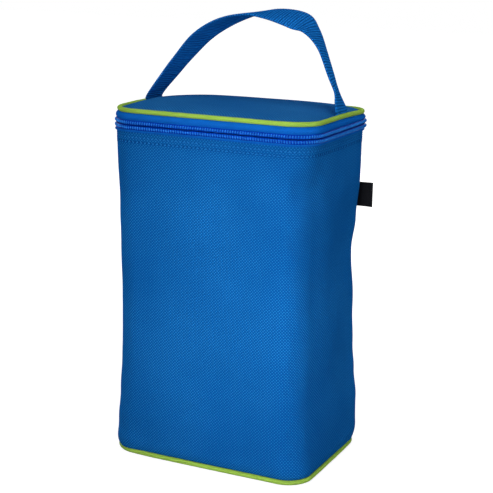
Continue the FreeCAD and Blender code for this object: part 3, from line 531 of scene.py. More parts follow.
def soft_steps(stops, place):
    """A smooth line through hand-set stops, each a place and its value."""
    places, values = np.array(stops, float).T
    index = np.clip(np.searchsorted(places, place) - 1, 0, len(places) - 2)
    share = np.clip((place - places[index]) / (places[index + 1] - places[index]), 0, 1)
    share = share * share * (3 - 2 * share)
    return values[index] + (values[index + 1] - values[index]) * share


print("soft step, a quarter of the way:", soft_steps(((0, 0), (8, 1)), 2.0).round(3))

# %% [markdown]
# ## The way round the bag
# Pipings, tapes, coils and walls all follow one rounded rectangle. It is measured as a
# tape measure would be laid: from the middle of the back, round the left side, the front
# and the right side, and back again. Each piece then says how far outside this line it
# lies, at which height, and between which two marks of the tape.

# %% The piping line
wall_low, wall_high = span("outer_wrap_panel", "outer_back_panel")
HALF_WIDTH, HALF_DEPTH = wall_high[0], wall_high[1]
WALL_FOOT, WALL_TOP = wall_low[2], wall_high[2]
CORNER_RADIUS = 17.5
centre_x, centre_y = HALF_WIDTH - CORNER_RADIUS, HALF_DEPTH - CORNER_RADIUS
bend = CORNER_RADIUS * math.pi / 2
marks = np.cumsum([0, centre_x, bend, 2 * centre_y, bend, 2 * centre_x, bend, 2 * centre_y, bend])
WAY_ROUND = marks[-1] + centre_x
REAR_LEFT, FRONT_LEFT = marks[1:3], marks[3:5]
FRONT_RIGHT, REAR_RIGHT = marks[5:7], marks[7:9]
CORNERS = (REAR_LEFT, FRONT_LEFT, FRONT_RIGHT, REAR_RIGHT)


def way(place, outset=0.0):
    """Points of the line at these places, moved out, and the outward directions."""
    place = np.asarray(place, float) % WAY_ROUND
    turned = sum(np.clip((place - start) / bend, 0, 1) for start in marks[1::2])
    angle = math.pi / 2 * (1 + turned)
    outward = np.stack([np.cos(angle), np.sin(angle)], axis=-1)
    x = np.interp(place, [*marks, WAY_ROUND], centre_x * np.array([0, -1, -1, -1, -1, 1, 1, 1, 1, 0]))
    y = np.interp(place, [*marks, WAY_ROUND], centre_y * np.array([1, 1, 1, -1, -1, -1, -1, 1, 1, 1]))
    points = np.stack([x, y], axis=-1) + outward * (CORNER_RADIUS + np.asarray(outset))[..., None]
    return points, outward


def tape_marks(start, end, step=2.0):
    """Evenly spaced marks between two places, with the ends of the corners among them."""
    stops = [start, *[mark for mark in marks[1:] if start < mark < end], end]
    parts = [np.linspace(a, b, max(2, round((b - a) / step) + 1))[:-1] for a, b in zip(stops, stops[1:])]
    return np.append(np.concatenate(parts), end)


print("once round the piping line:", round(WAY_ROUND, 1), "mm")

# %% [markdown]
# ## Walls
# The bag's walls are canvas over foam. They are cut as two pieces, one that wraps the
# front and both sides and one for the back, and their seams hide in the rear corners.
# A full zipper band holds the mouth square and the base holds the foot square, and
# between them the corners draw in, each by its own amount; only the rear right one stands
# out a little at its foot. The canvas, the foam and the liner all share this shape, so it
# is one function of place and height.

# %% How far the walls draw in
CORNER_DRAW = (
    # for each corner: a height, and how far the corner is drawn in there
    ((20, 0), (60, 1.6), (110, 2.8), (165, 2.0), (215, 0)),
    ((24, 0), (45, 1.1), (70, 1.8), (95, 2.4), (140, 2.1), (182, 1.3), (232, 0)),
    ((18, 0), (70, 1.6), (130, 2.4), (185, 1.2), (225, 0)),
    (
        (5, -0.8), (16, -2.2), (36, -2.0), (58, 0), (78, 1.3), (105, 2.3), (150, 3.5), (172, 1.8), (203, 0),
    ),
)
SIDE_BOW = ((10, 0), (70, 0.8), (150, 1.2), (225, 0))
CORNER_SIGNS = ((-1, 1), (-1, -1), (1, -1), (1, 1))


def draw_in(place, height):
    """How far each point of the walls is moved, in plan, from the straight box."""
    place = np.asarray(place, float) % WAY_ROUND
    height = np.asarray(height, float)
    moved = np.zeros(np.broadcast(place, height).shape + (2,))
    for k, (corner, stops, signs) in enumerate(zip(CORNERS, CORNER_DRAW, CORNER_SIGNS)):
        before = CORNERS[k - 1][1] - WAY_ROUND * (k == 0)
        after = CORNERS[(k + 1) % 4][0] + WAY_ROUND * (k == 3)
        ramp = [before, *corner, after], [0, 1, 1, 0]
        share = np.max([np.interp(place + shift, *ramp) for shift in (0, -WAY_ROUND, WAY_ROUND)], axis=0)
        pull = soft_steps(stops, height) * share
        moved -= pull[..., None] * np.array(signs)
    return moved


def side_share(place):
    """0 in the corners, and an arch from 0 to 1 and back along each side."""
    place = np.asarray(place, float) % WAY_ROUND
    share = np.zeros_like(place)
    for (_, start), (end, _) in zip(CORNERS, CORNERS[1:]):
        share += np.sin(math.pi * np.clip((place - start) / (end - start), 0, 1))
    rear = (place - REAR_RIGHT[1]) % WAY_ROUND / (WAY_ROUND - REAR_RIGHT[1] + REAR_LEFT[0])
    return share + np.sin(math.pi * np.clip(rear, 0, 1))


LABEL_HEIGHT = 170.0
print("draw-in beside the label:", soft_steps(CORNER_DRAW[3], LABEL_HEIGHT).round(1), "mm")

# %% [markdown]
# ### Folds and puckers
# Canvas over foam is never quite flat. Long soft folds run down from the zipper band and
# up from the base, a wide dent crosses the right side under the label, and short puckers
# stand where the cloth is sewn to the base piping. The front right corner is much softer
# than the others, with a dimple near its top, and the right side bows out beside it. The
# folds die out at the seams.

# %% Soft folds
FOLDS = (
    # place, height, half-length across, half-length up, depth (outwards positive)
    # long folds and wide dents, the last one in the back
    (REAR_RIGHT[0] - 22, 150, 30, 26, -1.3),
    (REAR_RIGHT[0] - 30, 105, 26, 30, 0.8),
    (FRONT_RIGHT[0] - 14, 70, 26, 55, 0.9),
    (FRONT_LEFT[1] + 46, 120, 34, 70, -0.7),
    (FRONT_LEFT[1] + 18, 60, 18, 40, 0.5),
    (FRONT_LEFT[1] + 75, 195, 36, 18, -0.5),
    (REAR_LEFT[1] + 36, 110, 24, 60, -0.8),
    (WAY_ROUND, 115, 34, 60, -0.9),
    # the front right corner's dimple, a dent round the corner from it, a crease at its foot
    (FRONT_RIGHT[0] + 10, 207, 7, 10, -2.6),
    (FRONT_RIGHT[0] + 23, 205, 16, 13, -3.5),
    (FRONT_RIGHT[0] - 6, 192, 10, 12, 0.5),
    (FRONT_RIGHT[1] + 26, 203, 14, 12, -2.0),
    (FRONT_RIGHT[0] + 5, 21, 6, 11, -2.0),
    # the same corner's soft edge, and the bow of the right side
    (FRONT_RIGHT[0] + 20, 40, 18, 60, -2.2),
    (FRONT_RIGHT[1] + 35, 125, 30, 90, 3.0),
    (FRONT_RIGHT[0] + 20, 160, 20, 80, -5.0),
)
NOISE_GAIN = 1.6


def ripple(place, height, size, seed):
    """Smooth noise over a wall, from about -1 to 1, the same in every layer."""
    flat = [noise.noise(Vector((p / size, h / size, seed))) for p, h in zip(place.ravel(), height.ravel())]
    return np.array(flat).reshape(place.shape) * NOISE_GAIN


def apart(place, mark):
    """How far these places lie from a mark, the short way round; negative before it."""
    return (place - mark + WAY_ROUND / 2) % WAY_ROUND - WAY_ROUND / 2


def folds(place, height):
    place = np.asarray(place, float)
    total = -soft_steps(SIDE_BOW, height) * side_share(place)
    for middle, level, across, up, depth in FOLDS:
        total = total + depth * np.exp(-(apart(place, middle) / across) ** 2 - ((height - level) / up) ** 2)
    free = np.clip((height - WALL_FOOT - 2) / 30, 0, 1) * np.clip((WALL_TOP - height) / 30, 0, 1)
    buckles = ripple(place, height, 42.0, 3.0) * 0.6 + ripple(place, height, 22.0, 8.0) * 0.22
    total = total * np.sqrt(free) + buckles * free
    foot = np.exp(-((height - WALL_FOOT - 7) / 6) ** 2)
    puckers = ripple(place, height / 4, 6.5, 9.0) * 0.16 * foot
    return total + puckers


print("hand-placed folds:", len(FOLDS))

# %% [markdown]
# ### Wall layers
# Every layer is the same sheet at its own depth. The canvas is finely divided near its
# foot and its hem, where it turns in and where the topstitching presses two shallow
# grooves. At the rear seams the wrap laps a little over the back, and the foam stops
# short, so that nothing pale shows in the seam.

# %% Wall layers
MITRE = bend / 2
REAR_SEAMS = (REAR_LEFT[0] + MITRE, REAR_RIGHT[0] + MITRE)
OVERLAP, CANVAS_THICKNESS = 0.25, 0.9
HEM_FOOT, BULGE_LEVEL = 226.5, 9
foot_levels = np.arange(WALL_FOOT - 2.2, WALL_FOOT + 9, 0.8)
middle_levels = np.arange(WALL_FOOT + 9, WALL_TOP - 12, 2.2)
hem_levels = np.arange(WALL_TOP - 12, WALL_TOP, 0.45)
canvas_levels = np.concatenate([foot_levels, middle_levels, hem_levels, [WALL_TOP]])


def wall_points(places, levels, inset, detail=None):
    """The grid of a wall layer, this far inside the piping line."""
    place, level = np.meshgrid(places, levels)
    outset = folds(place, level) - inset
    if detail is not None:
        outset = outset + detail(place, level)
    flat, _ = way(place, outset)
    flat = flat + draw_in(place, level)
    return np.concatenate([flat, level[..., None]], axis=-1)


def canvas_detail(place, level):
    """Seams turn in, the foot overhangs the piping, and topstitching presses the hem down."""
    turned_in = 1.3 * np.exp(-(level - WALL_FOOT + 2.2) / 1.5) + 0.5 * np.exp(-(WALL_TOP - level) / 0.5)
    grooves = sum(np.exp(-((level - row) / 0.7) ** 2) for row in STITCH_LEVELS)
    seams = sum(np.exp(-np.abs(place - seam) / 1.5) for seam in REAR_SEAMS)
    hem = 0.25 * np.clip((level - HEM_FOOT) / 0.8, 0, 1)
    pucker = 1 + 0.8 * ripple(place, level * 0, 3.2, 5.0)
    front = np.clip((place - FRONT_LEFT[1]) / 10, 0, 1) * np.clip((FRONT_RIGHT[0] - place) / 10, 0, 1)
    overhang = (0.9 - 0.7 * front) * np.exp(-(((level - BULGE_LEVEL) / 6) ** 2))
    return hem + overhang - turned_in - 0.28 * grooves * pucker - seams


def wall_layer(name, start, end, inset, thickness, levels, detail=None):
    places = tape_marks(start, end)
    piece = grid_piece(name, wall_points(places, levels, inset, detail), places, levels)
    return thicken(piece, thickness)


wrap_ends = REAR_SEAMS[0] - OVERLAP, REAR_SEAMS[1] + OVERLAP
back_ends = REAR_SEAMS[1] - WAY_ROUND, REAR_SEAMS[0]
outer_wrap = wall_layer("outer_wrap", *wrap_ends, 0, CANVAS_THICKNESS, canvas_levels, canvas_detail)
outer_back = wall_layer("outer_back", *back_ends, 0, CANVAS_THICKNESS, canvas_levels, canvas_detail)
dress(outer_wrap, canvas, "bag", "canvas", "outer_wrap_panel")
dress(outer_back, canvas, "bag", "canvas", "outer_back_panel")
wrap_flat = (REAR_SEAMS[1] - REAR_SEAMS[0]) * MM, (WALL_TOP - WALL_FOOT) * MM
back_flat = (WAY_ROUND - REAR_SEAMS[1] + REAR_SEAMS[0]) * MM, (WALL_TOP - WALL_FOOT) * MM
print("faces in the wrap:", len(outer_wrap.data.polygons))

# %% [markdown]
# ### Foam walls
# Four slabs of foam stand inside the canvas, each from the middle of one corner to the
# middle of the next. They are the same sheet again, further in and thicker, so no fold of
# the canvas sinks into them.

# %% Foam walls
FOAM_INSET, FOAM_THICKNESS = 1.2, 4.5
SEAM_GAP, CUT_GAP = 2.6, 0.3
foam_levels = np.append(np.arange(6.0, WALL_TOP, 6.0), WALL_TOP)
front_left, front_right = FRONT_LEFT[0] + MITRE, FRONT_RIGHT[0] + MITRE
foam_ends = {
    "left": (REAR_SEAMS[0] + SEAM_GAP, front_left - CUT_GAP),
    "front": (front_left + CUT_GAP, front_right - CUT_GAP),
    "right": (front_right + CUT_GAP, REAR_SEAMS[1] - SEAM_GAP),
    "back": (back_ends[0] + SEAM_GAP, back_ends[1] - SEAM_GAP),
}
for side, ends in foam_ends.items():
    foam_wall = wall_layer(f"foam_walls_{side}", *ends, FOAM_INSET, FOAM_THICKNESS, foam_levels)
    dress(foam_wall, foam_cells, "bag", "foam", f"foam_{side}")
print("foam walls:", list(foam_ends))

# %% [markdown]
# ## Piping
# The two lime pipings are cords wrapped in a strip of cloth and caught in the seams. A
# hand-sewn cord is never quite true: it wanders a little up and down, and its cover
# tightens and slackens. Each is a section swept once round the line, and its cloth
# coordinates run along the cord and round it, so the slanted ribs follow it. The seams
# pull in a little at each corner, and the back of the lid's rim sags.

# %% Bands swept round the bag
TUCKS = (
    # the corner, its pull at the foot and at the mouth, and how far the mouth's reaches
    (REAR_LEFT, 1.0, 1.0, 20),
    (FRONT_LEFT, 1.9, 2.0, 13),
    (FRONT_RIGHT, 0.2, 0.0, 20),
    (REAR_RIGHT, 0.7, 0.6, 20),
)
FOOT_REACH, FOOT_ZONE = 20, 50
MOUTH_LEVEL, MOUTH_RISE = 236.0, 2.5
LID_LEVEL, LID_RISE = 243.5, 4
# the rim begins to sag a little in front of its middle; then places across it, and the sag
SAG_FROM, SAG_RUN = -5, 59
RIM_SAG = (-76, -40, 10, 76), (3.5, 2.4, 2.1, 1.4)


def tuck(place, height):
    """How far the seams are pulled in at each corner, at the foot and at the mouth."""
    place, height = np.broadcast_arrays(np.asarray(place, float), np.asarray(height, float))
    at_mouth = np.clip((height - MOUTH_LEVEL) / MOUTH_RISE, 0, 1)
    pulled = np.zeros(place.shape)
    for (start, end), foot, mouth, reach in TUCKS:
        away = apart(place, (start + end) / 2)
        at_foot = foot * np.exp(-(away / FOOT_REACH) ** 2)
        above = mouth * at_mouth * np.exp(-(away / reach) ** 2)
        pulled = pulled + np.where(height < FOOT_ZONE, at_foot, above)
    return pulled


def rim_drop(x, y):
    """How far the back of the lid's rim sags below the front, in mm."""
    back = np.clip((np.asarray(y, float) - SAG_FROM) / SAG_RUN, 0, 1)
    back = back ** 2 * (3 - 2 * back)
    return back * np.interp(x, *RIM_SAG)


def run_along(line):
    """The length of a line up to each of its points."""
    return np.concatenate([[0], np.cumsum(np.linalg.norm(np.diff(line, axis=0), axis=1))])


def band(name, section, places):
    """Sweeps a closed section round the bag; it gives outset and height at each place.

    A band that comes back to its start is joined there, and any other band is capped.
    """
    looped = places[-1] - places[0] > WAY_ROUND - 1
    stations = places[:-1] if looped else places
    outset, height = section(stations[:, None])
    outset, height, place = np.broadcast_arrays(outset, height, stations[:, None])
    flat, _ = way(place, outset - tuck(place, height))
    height = height - rim_drop(flat[..., 0], flat[..., 1]) * np.clip((height - LID_LEVEL) / LID_RISE, 0, 1)
    points = np.concatenate([flat, height[..., None]], axis=-1)
    girth = run_along(np.column_stack([outset[0], height[0]]))
    girth = np.append(girth, 2 * girth[-1] - girth[-2])
    piece = grid_piece(name, points, girth, places, True, looped)
    return close_up(piece, fill_ends=not looped)


PIPING_RADIUS = 1.65
round_section = np.linspace(0, 2 * math.pi, 21)[:-1]
base_line = PIPING_RADIUS + 0.1
lid_line = np.mean([corner[2] for corner in span("lid_piping")])
all_round = tape_marks(0, WAY_ROUND, 1.5)


def piping(name, level, seed, wandering, body, node):
    def section(place):
        wander = ripple(place, place * 0, 30.0, seed) * wandering
        plump = PIPING_RADIUS * (1 + ripple(place, place * 0, 7.0, seed + 5) * 0.035)
        outset = np.cos(round_section) * plump + wander * 0.6
        return outset, level + np.sin(round_section) * plump + wander
    return dress(band(name, section, all_round), piping_cloth, body, "piping", node)


piping("base_cord", base_line, 11.0, 0.1, "bag", "base_piping")
piping("lid_cord", lid_line, 17.0, 0.28, "lid", "lid_piping")
print("piping levels:", round(base_line, 2), lid_line.round(2))

# %% [markdown]
# ## The base
# The base is a single layer of canvas under a foam slab. A closed sheet on a rounded
# rectangle is made of rings that shrink towards its middle, which keeps the rim exact.

# %% Rounded plates
def plate(name, profile, height_at=None):
    """A closed form from rings: each is its outset at the rim, its height and its share
    of the way out from the middle."""
    stations = all_round[:-1]
    rings = []
    for outset, height, share in profile:
        flat, _ = way(stations, outset)
        flat = flat * share
        ring = np.column_stack([flat, np.full(len(flat), float(height))])
        if height_at is not None:
            ring[:, 2] += height_at(flat[:, 0], flat[:, 1])
        rings.append(ring)
    piece = grid_piece(name, rings, all_round, np.arange(len(rings)), loop_across=True)
    return close_up(piece)


def sheet_profile(outset, low, high, rings=14):
    """The rings of a flat sheet: underside, round rim, upper side."""
    shares = np.linspace(0, 1, rings) ** 0.6
    middle, half = (low + high) / 2, (high - low) / 2
    inner = outset - half
    underside = [(inner, low, share) for share in shares]
    return [*underside, (outset, middle, 1), *[(inner, high, share) for share in shares[::-1]]]


def slack(amount, size, seed):
    """Soft waves for a sheet that lies flat."""
    return lambda x, y: ripple(x, y, size, seed) * amount


base_inset = span("outer_base_panel")[1][0] - HALF_WIDTH
base_cloth = plate("base_cloth", sheet_profile(base_inset, 0.05, 0.9), slack(0.06, 24.0, 2.0))
dress(base_cloth, level_sheen_canvas, "bag", "canvas", "outer_base_panel")
base_flat = [2 * (HALF_WIDTH + base_inset) * MM, 2 * (HALF_DEPTH + base_inset) * MM]
base_flat[0] * base_flat[1] * 0.985
foam_low, foam_high = span("foam_base")
base_slab = plate("base_slab", sheet_profile(foam_high[0] - HALF_WIDTH, foam_low[2], foam_high[2]))
dress(base_slab, foam_cells, "bag", "foam", "foam_base")
print("base cloth:", [round(side, 3) for side in base_flat])

# %% [markdown]
# ## The liner
# The liner is one welded film tub, looser than the walls, so it wrinkles along its height
# and bags a little over the base. It is made of the walls' own rings, further in, and
# then of rings that shrink to the middle of the floor. The lid has a flat sheet of the
# same film.

# %% The liner tub
liner_low, liner_high = span("body_liner")
LINER_INSET, FILM_THICKNESS = 6.0, 0.35


def crinkle(place, level):
    """Wrinkles up the film's height, drawn a little off the foam."""
    return ripple(place, level * 0.6, 9.0, 21.0) * 0.22 - 0.25


def liner_tub():
    """Rings down the walls, then rings that shrink to the middle of the floor."""
    places = all_round[:-1]
    levels = np.append(np.arange(liner_high[2], liner_low[2] + 4, -4.0), liner_low[2] + 2.5)
    walls = wall_points(places, levels, LINER_INSET, crinkle)
    rim = wall_points(places, [liner_low[2]], LINER_INSET + 2.2)[0]
    rings = [*walls, rim]
    for share in np.linspace(1, 0, 16)[1:]:
        ring = rim * (share, share, 1)
        ring[:, 2] += 0.15 + ripple(ring[:, 0], ring[:, 1], 14.0, 23.0) * 0.12
        rings.append(ring)
    rings[-1][:] = rings[-1].mean(axis=0)
    along = np.arange(len(rings)) * 4.0
    tub = grid_piece("liner_tub", rings, all_round, along, loop_across=True)
    work = bmesh.new()
    work.from_mesh(tub.data)
    bmesh.ops.remove_doubles(work, verts=work.verts, dist=0.001 * MM)
    work.to_mesh(tub.data)
    work.free()
    return thicken(tub, FILM_THICKNESS)


tub = dress(liner_tub(), liner_film, "bag", "liner", "body_liner")
tub_girth, tub_depth = (WAY_ROUND - 2 * math.pi * LINER_INSET) * MM, (liner_high[2] - liner_low[2]) * MM
tub_area = tub_girth * tub_depth + (2 * liner_high[0]) * (2 * liner_high[1]) * MM * MM
tub_area / tub_girth
film_low, film_high = span("lid_liner")
film_rings = sheet_profile(film_high[0] - HALF_WIDTH, film_low[2], film_high[2], 20)
lid_film = plate("lid_film", film_rings, slack(0.12, 12.0, 31.0))
dress(lid_film, liner_film, "lid", "liner", "lid_liner")
film_flat = (2 * film_high[0] * MM, 2 * film_high[1] * MM)
film_flat[0] * film_flat[1] * 0.985
print("liner tub area in square metres:", round(tub_area, 4))

# %% [markdown]
# ### Bindings
# The rim of liner and foam is wrapped in a woven tape that lies flat under the zipper
# band, and the lid has the same tape upside down. The tape's section is a line of corners,
# softened and given two sides, and it is swept round the bag as the piping is.

# %% Bindings
BINDING_THICKNESS, FOLD_RADIUS = 0.6, 0.5


def line_normals(line):
    """The directions square to a flat line at each of its points."""
    steps = np.gradient(line, axis=0)
    return np.column_stack([-steps[:, 1], steps[:, 0]]) / np.linalg.norm(steps, axis=1)[:, None]


def folded_tape(corners):
    """The section of a binding tape along a line of corners, as (outset, height)."""
    line = np.array(corners, float)
    softened = [line[0]]
    for before, here, after in zip(line, line[1:], line[2:]):
        back, on = [(end - here) / np.linalg.norm(end - here) * FOLD_RADIUS for end in (before, after)]
        for share in (0.0, 0.25, 0.5, 0.75, 1.0):
            softened.append(here + back * (1 - share) ** 2 + on * share ** 2)
    softened = np.array([*softened, line[-1]])
    off = line_normals(softened) * BINDING_THICKNESS / 2
    return np.concatenate([softened + off, (softened - off)[::-1]])


def binding(name, corners, body, node):
    """A folded tape all round, which sways a little in and out."""
    profile = folded_tape(corners)

    def section(place):
        wander = ripple(place, place * 0, 14.0, 41.0) * 0.1
        return profile[:, 0] + wander, profile[:, 1] + wander * 0
    dress(band(name, section, all_round), binding_cloth, body, "binding", node)


rim_low, rim_high = span("mouth_binding")
rim_out, rim_top = rim_high[0] - HALF_WIDTH - 0.1, rim_high[2] - 0.35
mouth_corners = ((rim_out, rim_top), (-7.3, rim_top), (-7.3, rim_low[2] + 0.2))
binding("mouth_tape", mouth_corners, "bag", "mouth_binding")
flange_low, flange_high = span("lid_binding")
leg_out = flange_high[0] - HALF_WIDTH - 0.4
lid_corners = ((-9.2, flange_low[2] + 0.35), (leg_out, flange_low[2] + 0.35), (leg_out, flange_high[2]))
binding("lid_tape", lid_corners, "lid", "lid_binding")
print("binding rim height:", rim_top.round(2))

# %% [markdown]
# ## The lid pad
# The lid is canvas over foam, so its top is a low cushion that pulls down at the piping.
# It starts as a thin closed block a little smaller than the finished pad. The block is
# remeshed into even cells, blown up by cloth simulation with no gravity, and limited in
# how far it may move.

# %% Simulate the lid pad
pad_low, pad_high = span("lid_top_panel")
PAD_EDGE = pad_high[0] - HALF_WIDTH + 0.6
PAD_CROWN = pad_high[2] - pad_low[2]
PUFF_FRAMES = 20


def points_of(piece):
    """A piece's points in millimetres, one in each row."""
    points = np.zeros(len(piece.data.vertices) * 3)
    piece.data.vertices.foreach_get("co", points)
    return points.reshape(-1, 3) / MM


def move_points(piece, points):
    """Puts a piece's points at these places in millimetres."""
    piece.data.vertices.foreach_set("co", (points * MM).ravel())
    return piece


def crown(x, y):
    """The cushion's height over its rim: full in the middle, turning down at the edges."""
    across, along = np.abs(x) / pad_high[0], np.abs(y) / pad_high[1]
    dome = (1 - np.clip(across, 0, 1) ** 3.2) * (1 - np.clip(along, 0, 1) ** np.where(y > 0, 3.5, 2.6))
    return PAD_CROWN * dome ** 0.72


def cushion(name, edge, low, high, shares, fullness=1.0, lift=0.0):
    """A closed block between two levels, whose upper side is raised to a crown."""
    underside = [(edge, low, share) for share in shares]
    topside = [(edge, high, share) for share in shares[::-1]]
    block = plate(name, [*underside, *topside])
    points = points_of(block)
    top = points[:, 2] > (low + high) / 2
    points[top, 2] += crown(points[top, 0], points[top, 1]) * fullness + lift
    return move_points(block, points)


def sag(piece, above=-1.0):
    """Lowers a piece with the back of the lid's rim, from a level upwards."""
    points = points_of(piece)
    points[:, 2] -= rim_drop(points[:, 0], points[:, 1]) * (points[:, 2] > above)
    return move_points(piece, points)


def puff(piece, voxel, pressure, most):
    """Blows a closed piece up by cloth simulation, moving no point by more than most."""
    remesh = piece.modifiers.new("cells", "REMESH")
    remesh.mode, remesh.voxel_size = "VOXEL", voxel * MM
    bake_modifiers(piece)
    before = points_of(piece)
    cloth = piece.modifiers.new("puff", "CLOTH")
    cloth.settings.use_pressure = True
    cloth.settings.uniform_pressure_force = pressure
    cloth.settings.quality = 6
    cloth.settings.effector_weights.gravity = 0
    cloth.settings.tension_stiffness = 25
    cloth.settings.bending_stiffness = 2
    cloth.point_cache.frame_start, cloth.point_cache.frame_end = 1, PUFF_FRAMES
    for frame_number in range(1, PUFF_FRAMES + 1):
        bpy.context.scene.frame_set(frame_number)
    bake_modifiers(piece)
    bpy.context.scene.frame_set(1)
    moved = points_of(piece) - before
    length = np.linalg.norm(moved, axis=1, keepdims=True)
    print("pad moved by up to", length.max().round(2), "mm before the cap")
    return move_points(piece, before + moved * np.minimum(1, most / np.maximum(length, 1e-6)))


lid_pad = cushion("lid_pad", PAD_EDGE, pad_low[2] - 4.5, pad_low[2] - 0.2, np.linspace(0, 1, 26))
puff(lid_pad, voxel=4.0, pressure=4.0, most=1.2)

# %% [markdown]
# ### The pad's top skin
# Only the canvas on top of the pad is wanted, so the block is cut off below its rim and
# the rest is thrown away. The skin is smoothed, given the canvas's thickness, stretched
# out to the piping and sagged with the back of the rim.

# %% Keep the pad's top skin
SKIN_THICKNESS, UNDER_PIPING = 0.8, 0.4


def top_skin(piece, floor_level):
    """Cuts the pad off at a level, keeps what is above, and thickens it."""
    work = bmesh.new()
    work.from_mesh(piece.data)
    geometry = [*work.verts, *work.edges, *work.faces]
    where = Vector((0, 0, floor_level * MM))
    bmesh.ops.bisect_plane(work, geom=geometry, plane_co=where, plane_no=(0, 0, 1), clear_inner=True)
    work.to_mesh(piece.data)
    work.free()
    smooth = piece.modifiers.new("smooth", "SUBSURF")
    smooth.levels = smooth.render_levels = 1
    bake_modifiers(piece)
    piece.data.polygons.foreach_set("use_smooth", [True] * len(piece.data.polygons))
    return thicken(piece, SKIN_THICKNESS)


def reach_rim(piece):
    """Stretches the pad in plan until its rim lies under the piping all the way round."""
    points = points_of(piece)
    rim = np.array([HALF_WIDTH, HALF_DEPTH]) - UNDER_PIPING
    points[:, :2] *= rim / np.abs(points[:, :2]).max(axis=0)
    return move_points(piece, points)


lid_pad = sag(reach_rim(top_skin(lid_pad, pad_low[2] - 0.6)))
dress(lid_pad, level_sheen_canvas, "lid", "canvas", "lid_top_panel")
print("lid pad faces:", len(lid_pad.data.polygons))

# %% [markdown]
# ### The lid's foam
# A slab of foam fills the pad. It has the same crown, a little flatter, and the same sag,
# and foam cut from a sheet needs no simulation.

# %% The lid's foam
core_low, core_high = span("lid_foam")
core_edge, core_foot = core_high[0] - HALF_WIDTH - 1.2, core_low[2]
core_shares = np.linspace(0, 1, 16) ** 0.6
lid_core = cushion("lid_core", core_edge, core_foot, core_foot + 0.8, core_shares, fullness=0.9, lift=2.0)
dress(sag(lid_core, core_foot + 0.4), foam_cells, "lid", "foam", "lid_foam")
print("lid foam faces:", len(lid_core.data.polygons))

# %% [markdown]
# ## Zipper tapes
# A zipper's tapes are woven ribbon. The lower one stands up from the bag's hem. The upper
# one hangs from the lid piping and is wider than its place, so it bulges out as a soft
# lobe before it tucks in behind the coil.

# %% Tapes
hinge_low, hinge_high = span("back_hinge_strip")
tape_places = tape_marks(hinge_high[0] + 0.3, WAY_ROUND - hinge_high[0] - 0.3, 1.5)
lower_low, lower_high = span("lower_zipper_tape")
# outset and height of each tape's face: the upper one downwards, the lower one upwards
UPPER_TAPE = (
    (0.2, 248.9), (0.8, 248.5), (1.6, 247.7), (2.3, 246.8), (2.6, 245.8), (2.5, 244.9),
    (2.1, 244.2), (1.7, 243.6), (1.2, 243.0), (0.8, 242.2), (0.8, 240.9),
)
ABOVE_HEM = ((-1.8, -0.05), (0.0, -0.35), (0.9, -0.55), (1.5, -0.1), (1.6, 0.5), (1.3, 1.4), (0.8, 2.2))
LOWER_TAPE = (*[(outset, lower_low[2] + rise) for outset, rise in ABOVE_HEM], (0.6, lower_high[2]))


def tape_piece(name, corners, seed, body, node):
    line = np.array(corners)
    normals = line_normals(line)
    normals *= np.sign(normals[-1, 0])
    profile = np.concatenate([line, (line - normals * 0.5)[::-1]])

    def section(place):
        bulge = np.clip(profile[:, 0] - 0.8, 0, None)
        wander = ripple(place, place * 0, 16.0, seed) * 0.12
        return profile[:, 0] + bulge * wander, profile[:, 1] + wander * 0.5 * bulge
    piece = dress(band(name, section, tape_places), tape_cloth, body, "zipper_tape", node)


tape_piece("upper_tape", UPPER_TAPE, 51.0, "lid", "upper_zipper_tape")
tape_piece("lower_tape", LOWER_TAPE, 53.0, "bag", "lower_zipper_tape")
print("tape length:", (tape_places[-1] - tape_places[0]).round(1), "mm")

# %% [markdown]
# ## Coils and stitches
# A coil zipper is one nylon wire wound into hundreds of equal turns, and a seam is a row
# of equal stitches. Both are one small shape set down again and again along a line, which
# is a job for Geometry Nodes. One tree serves both: it walks along a rail, sets a rounded
# bead at every pitch, lines it up with the rail and with the outward direction that the
# rail carries, leans it, and makes it all real geometry with its material.

# %% A tree that sets beads along a rail
def add_input(tree, name, kind, value=None):
    socket = tree.interface.new_socket(name, in_out="INPUT", socket_type=kind)
    if value is not None:
        socket.default_value = value


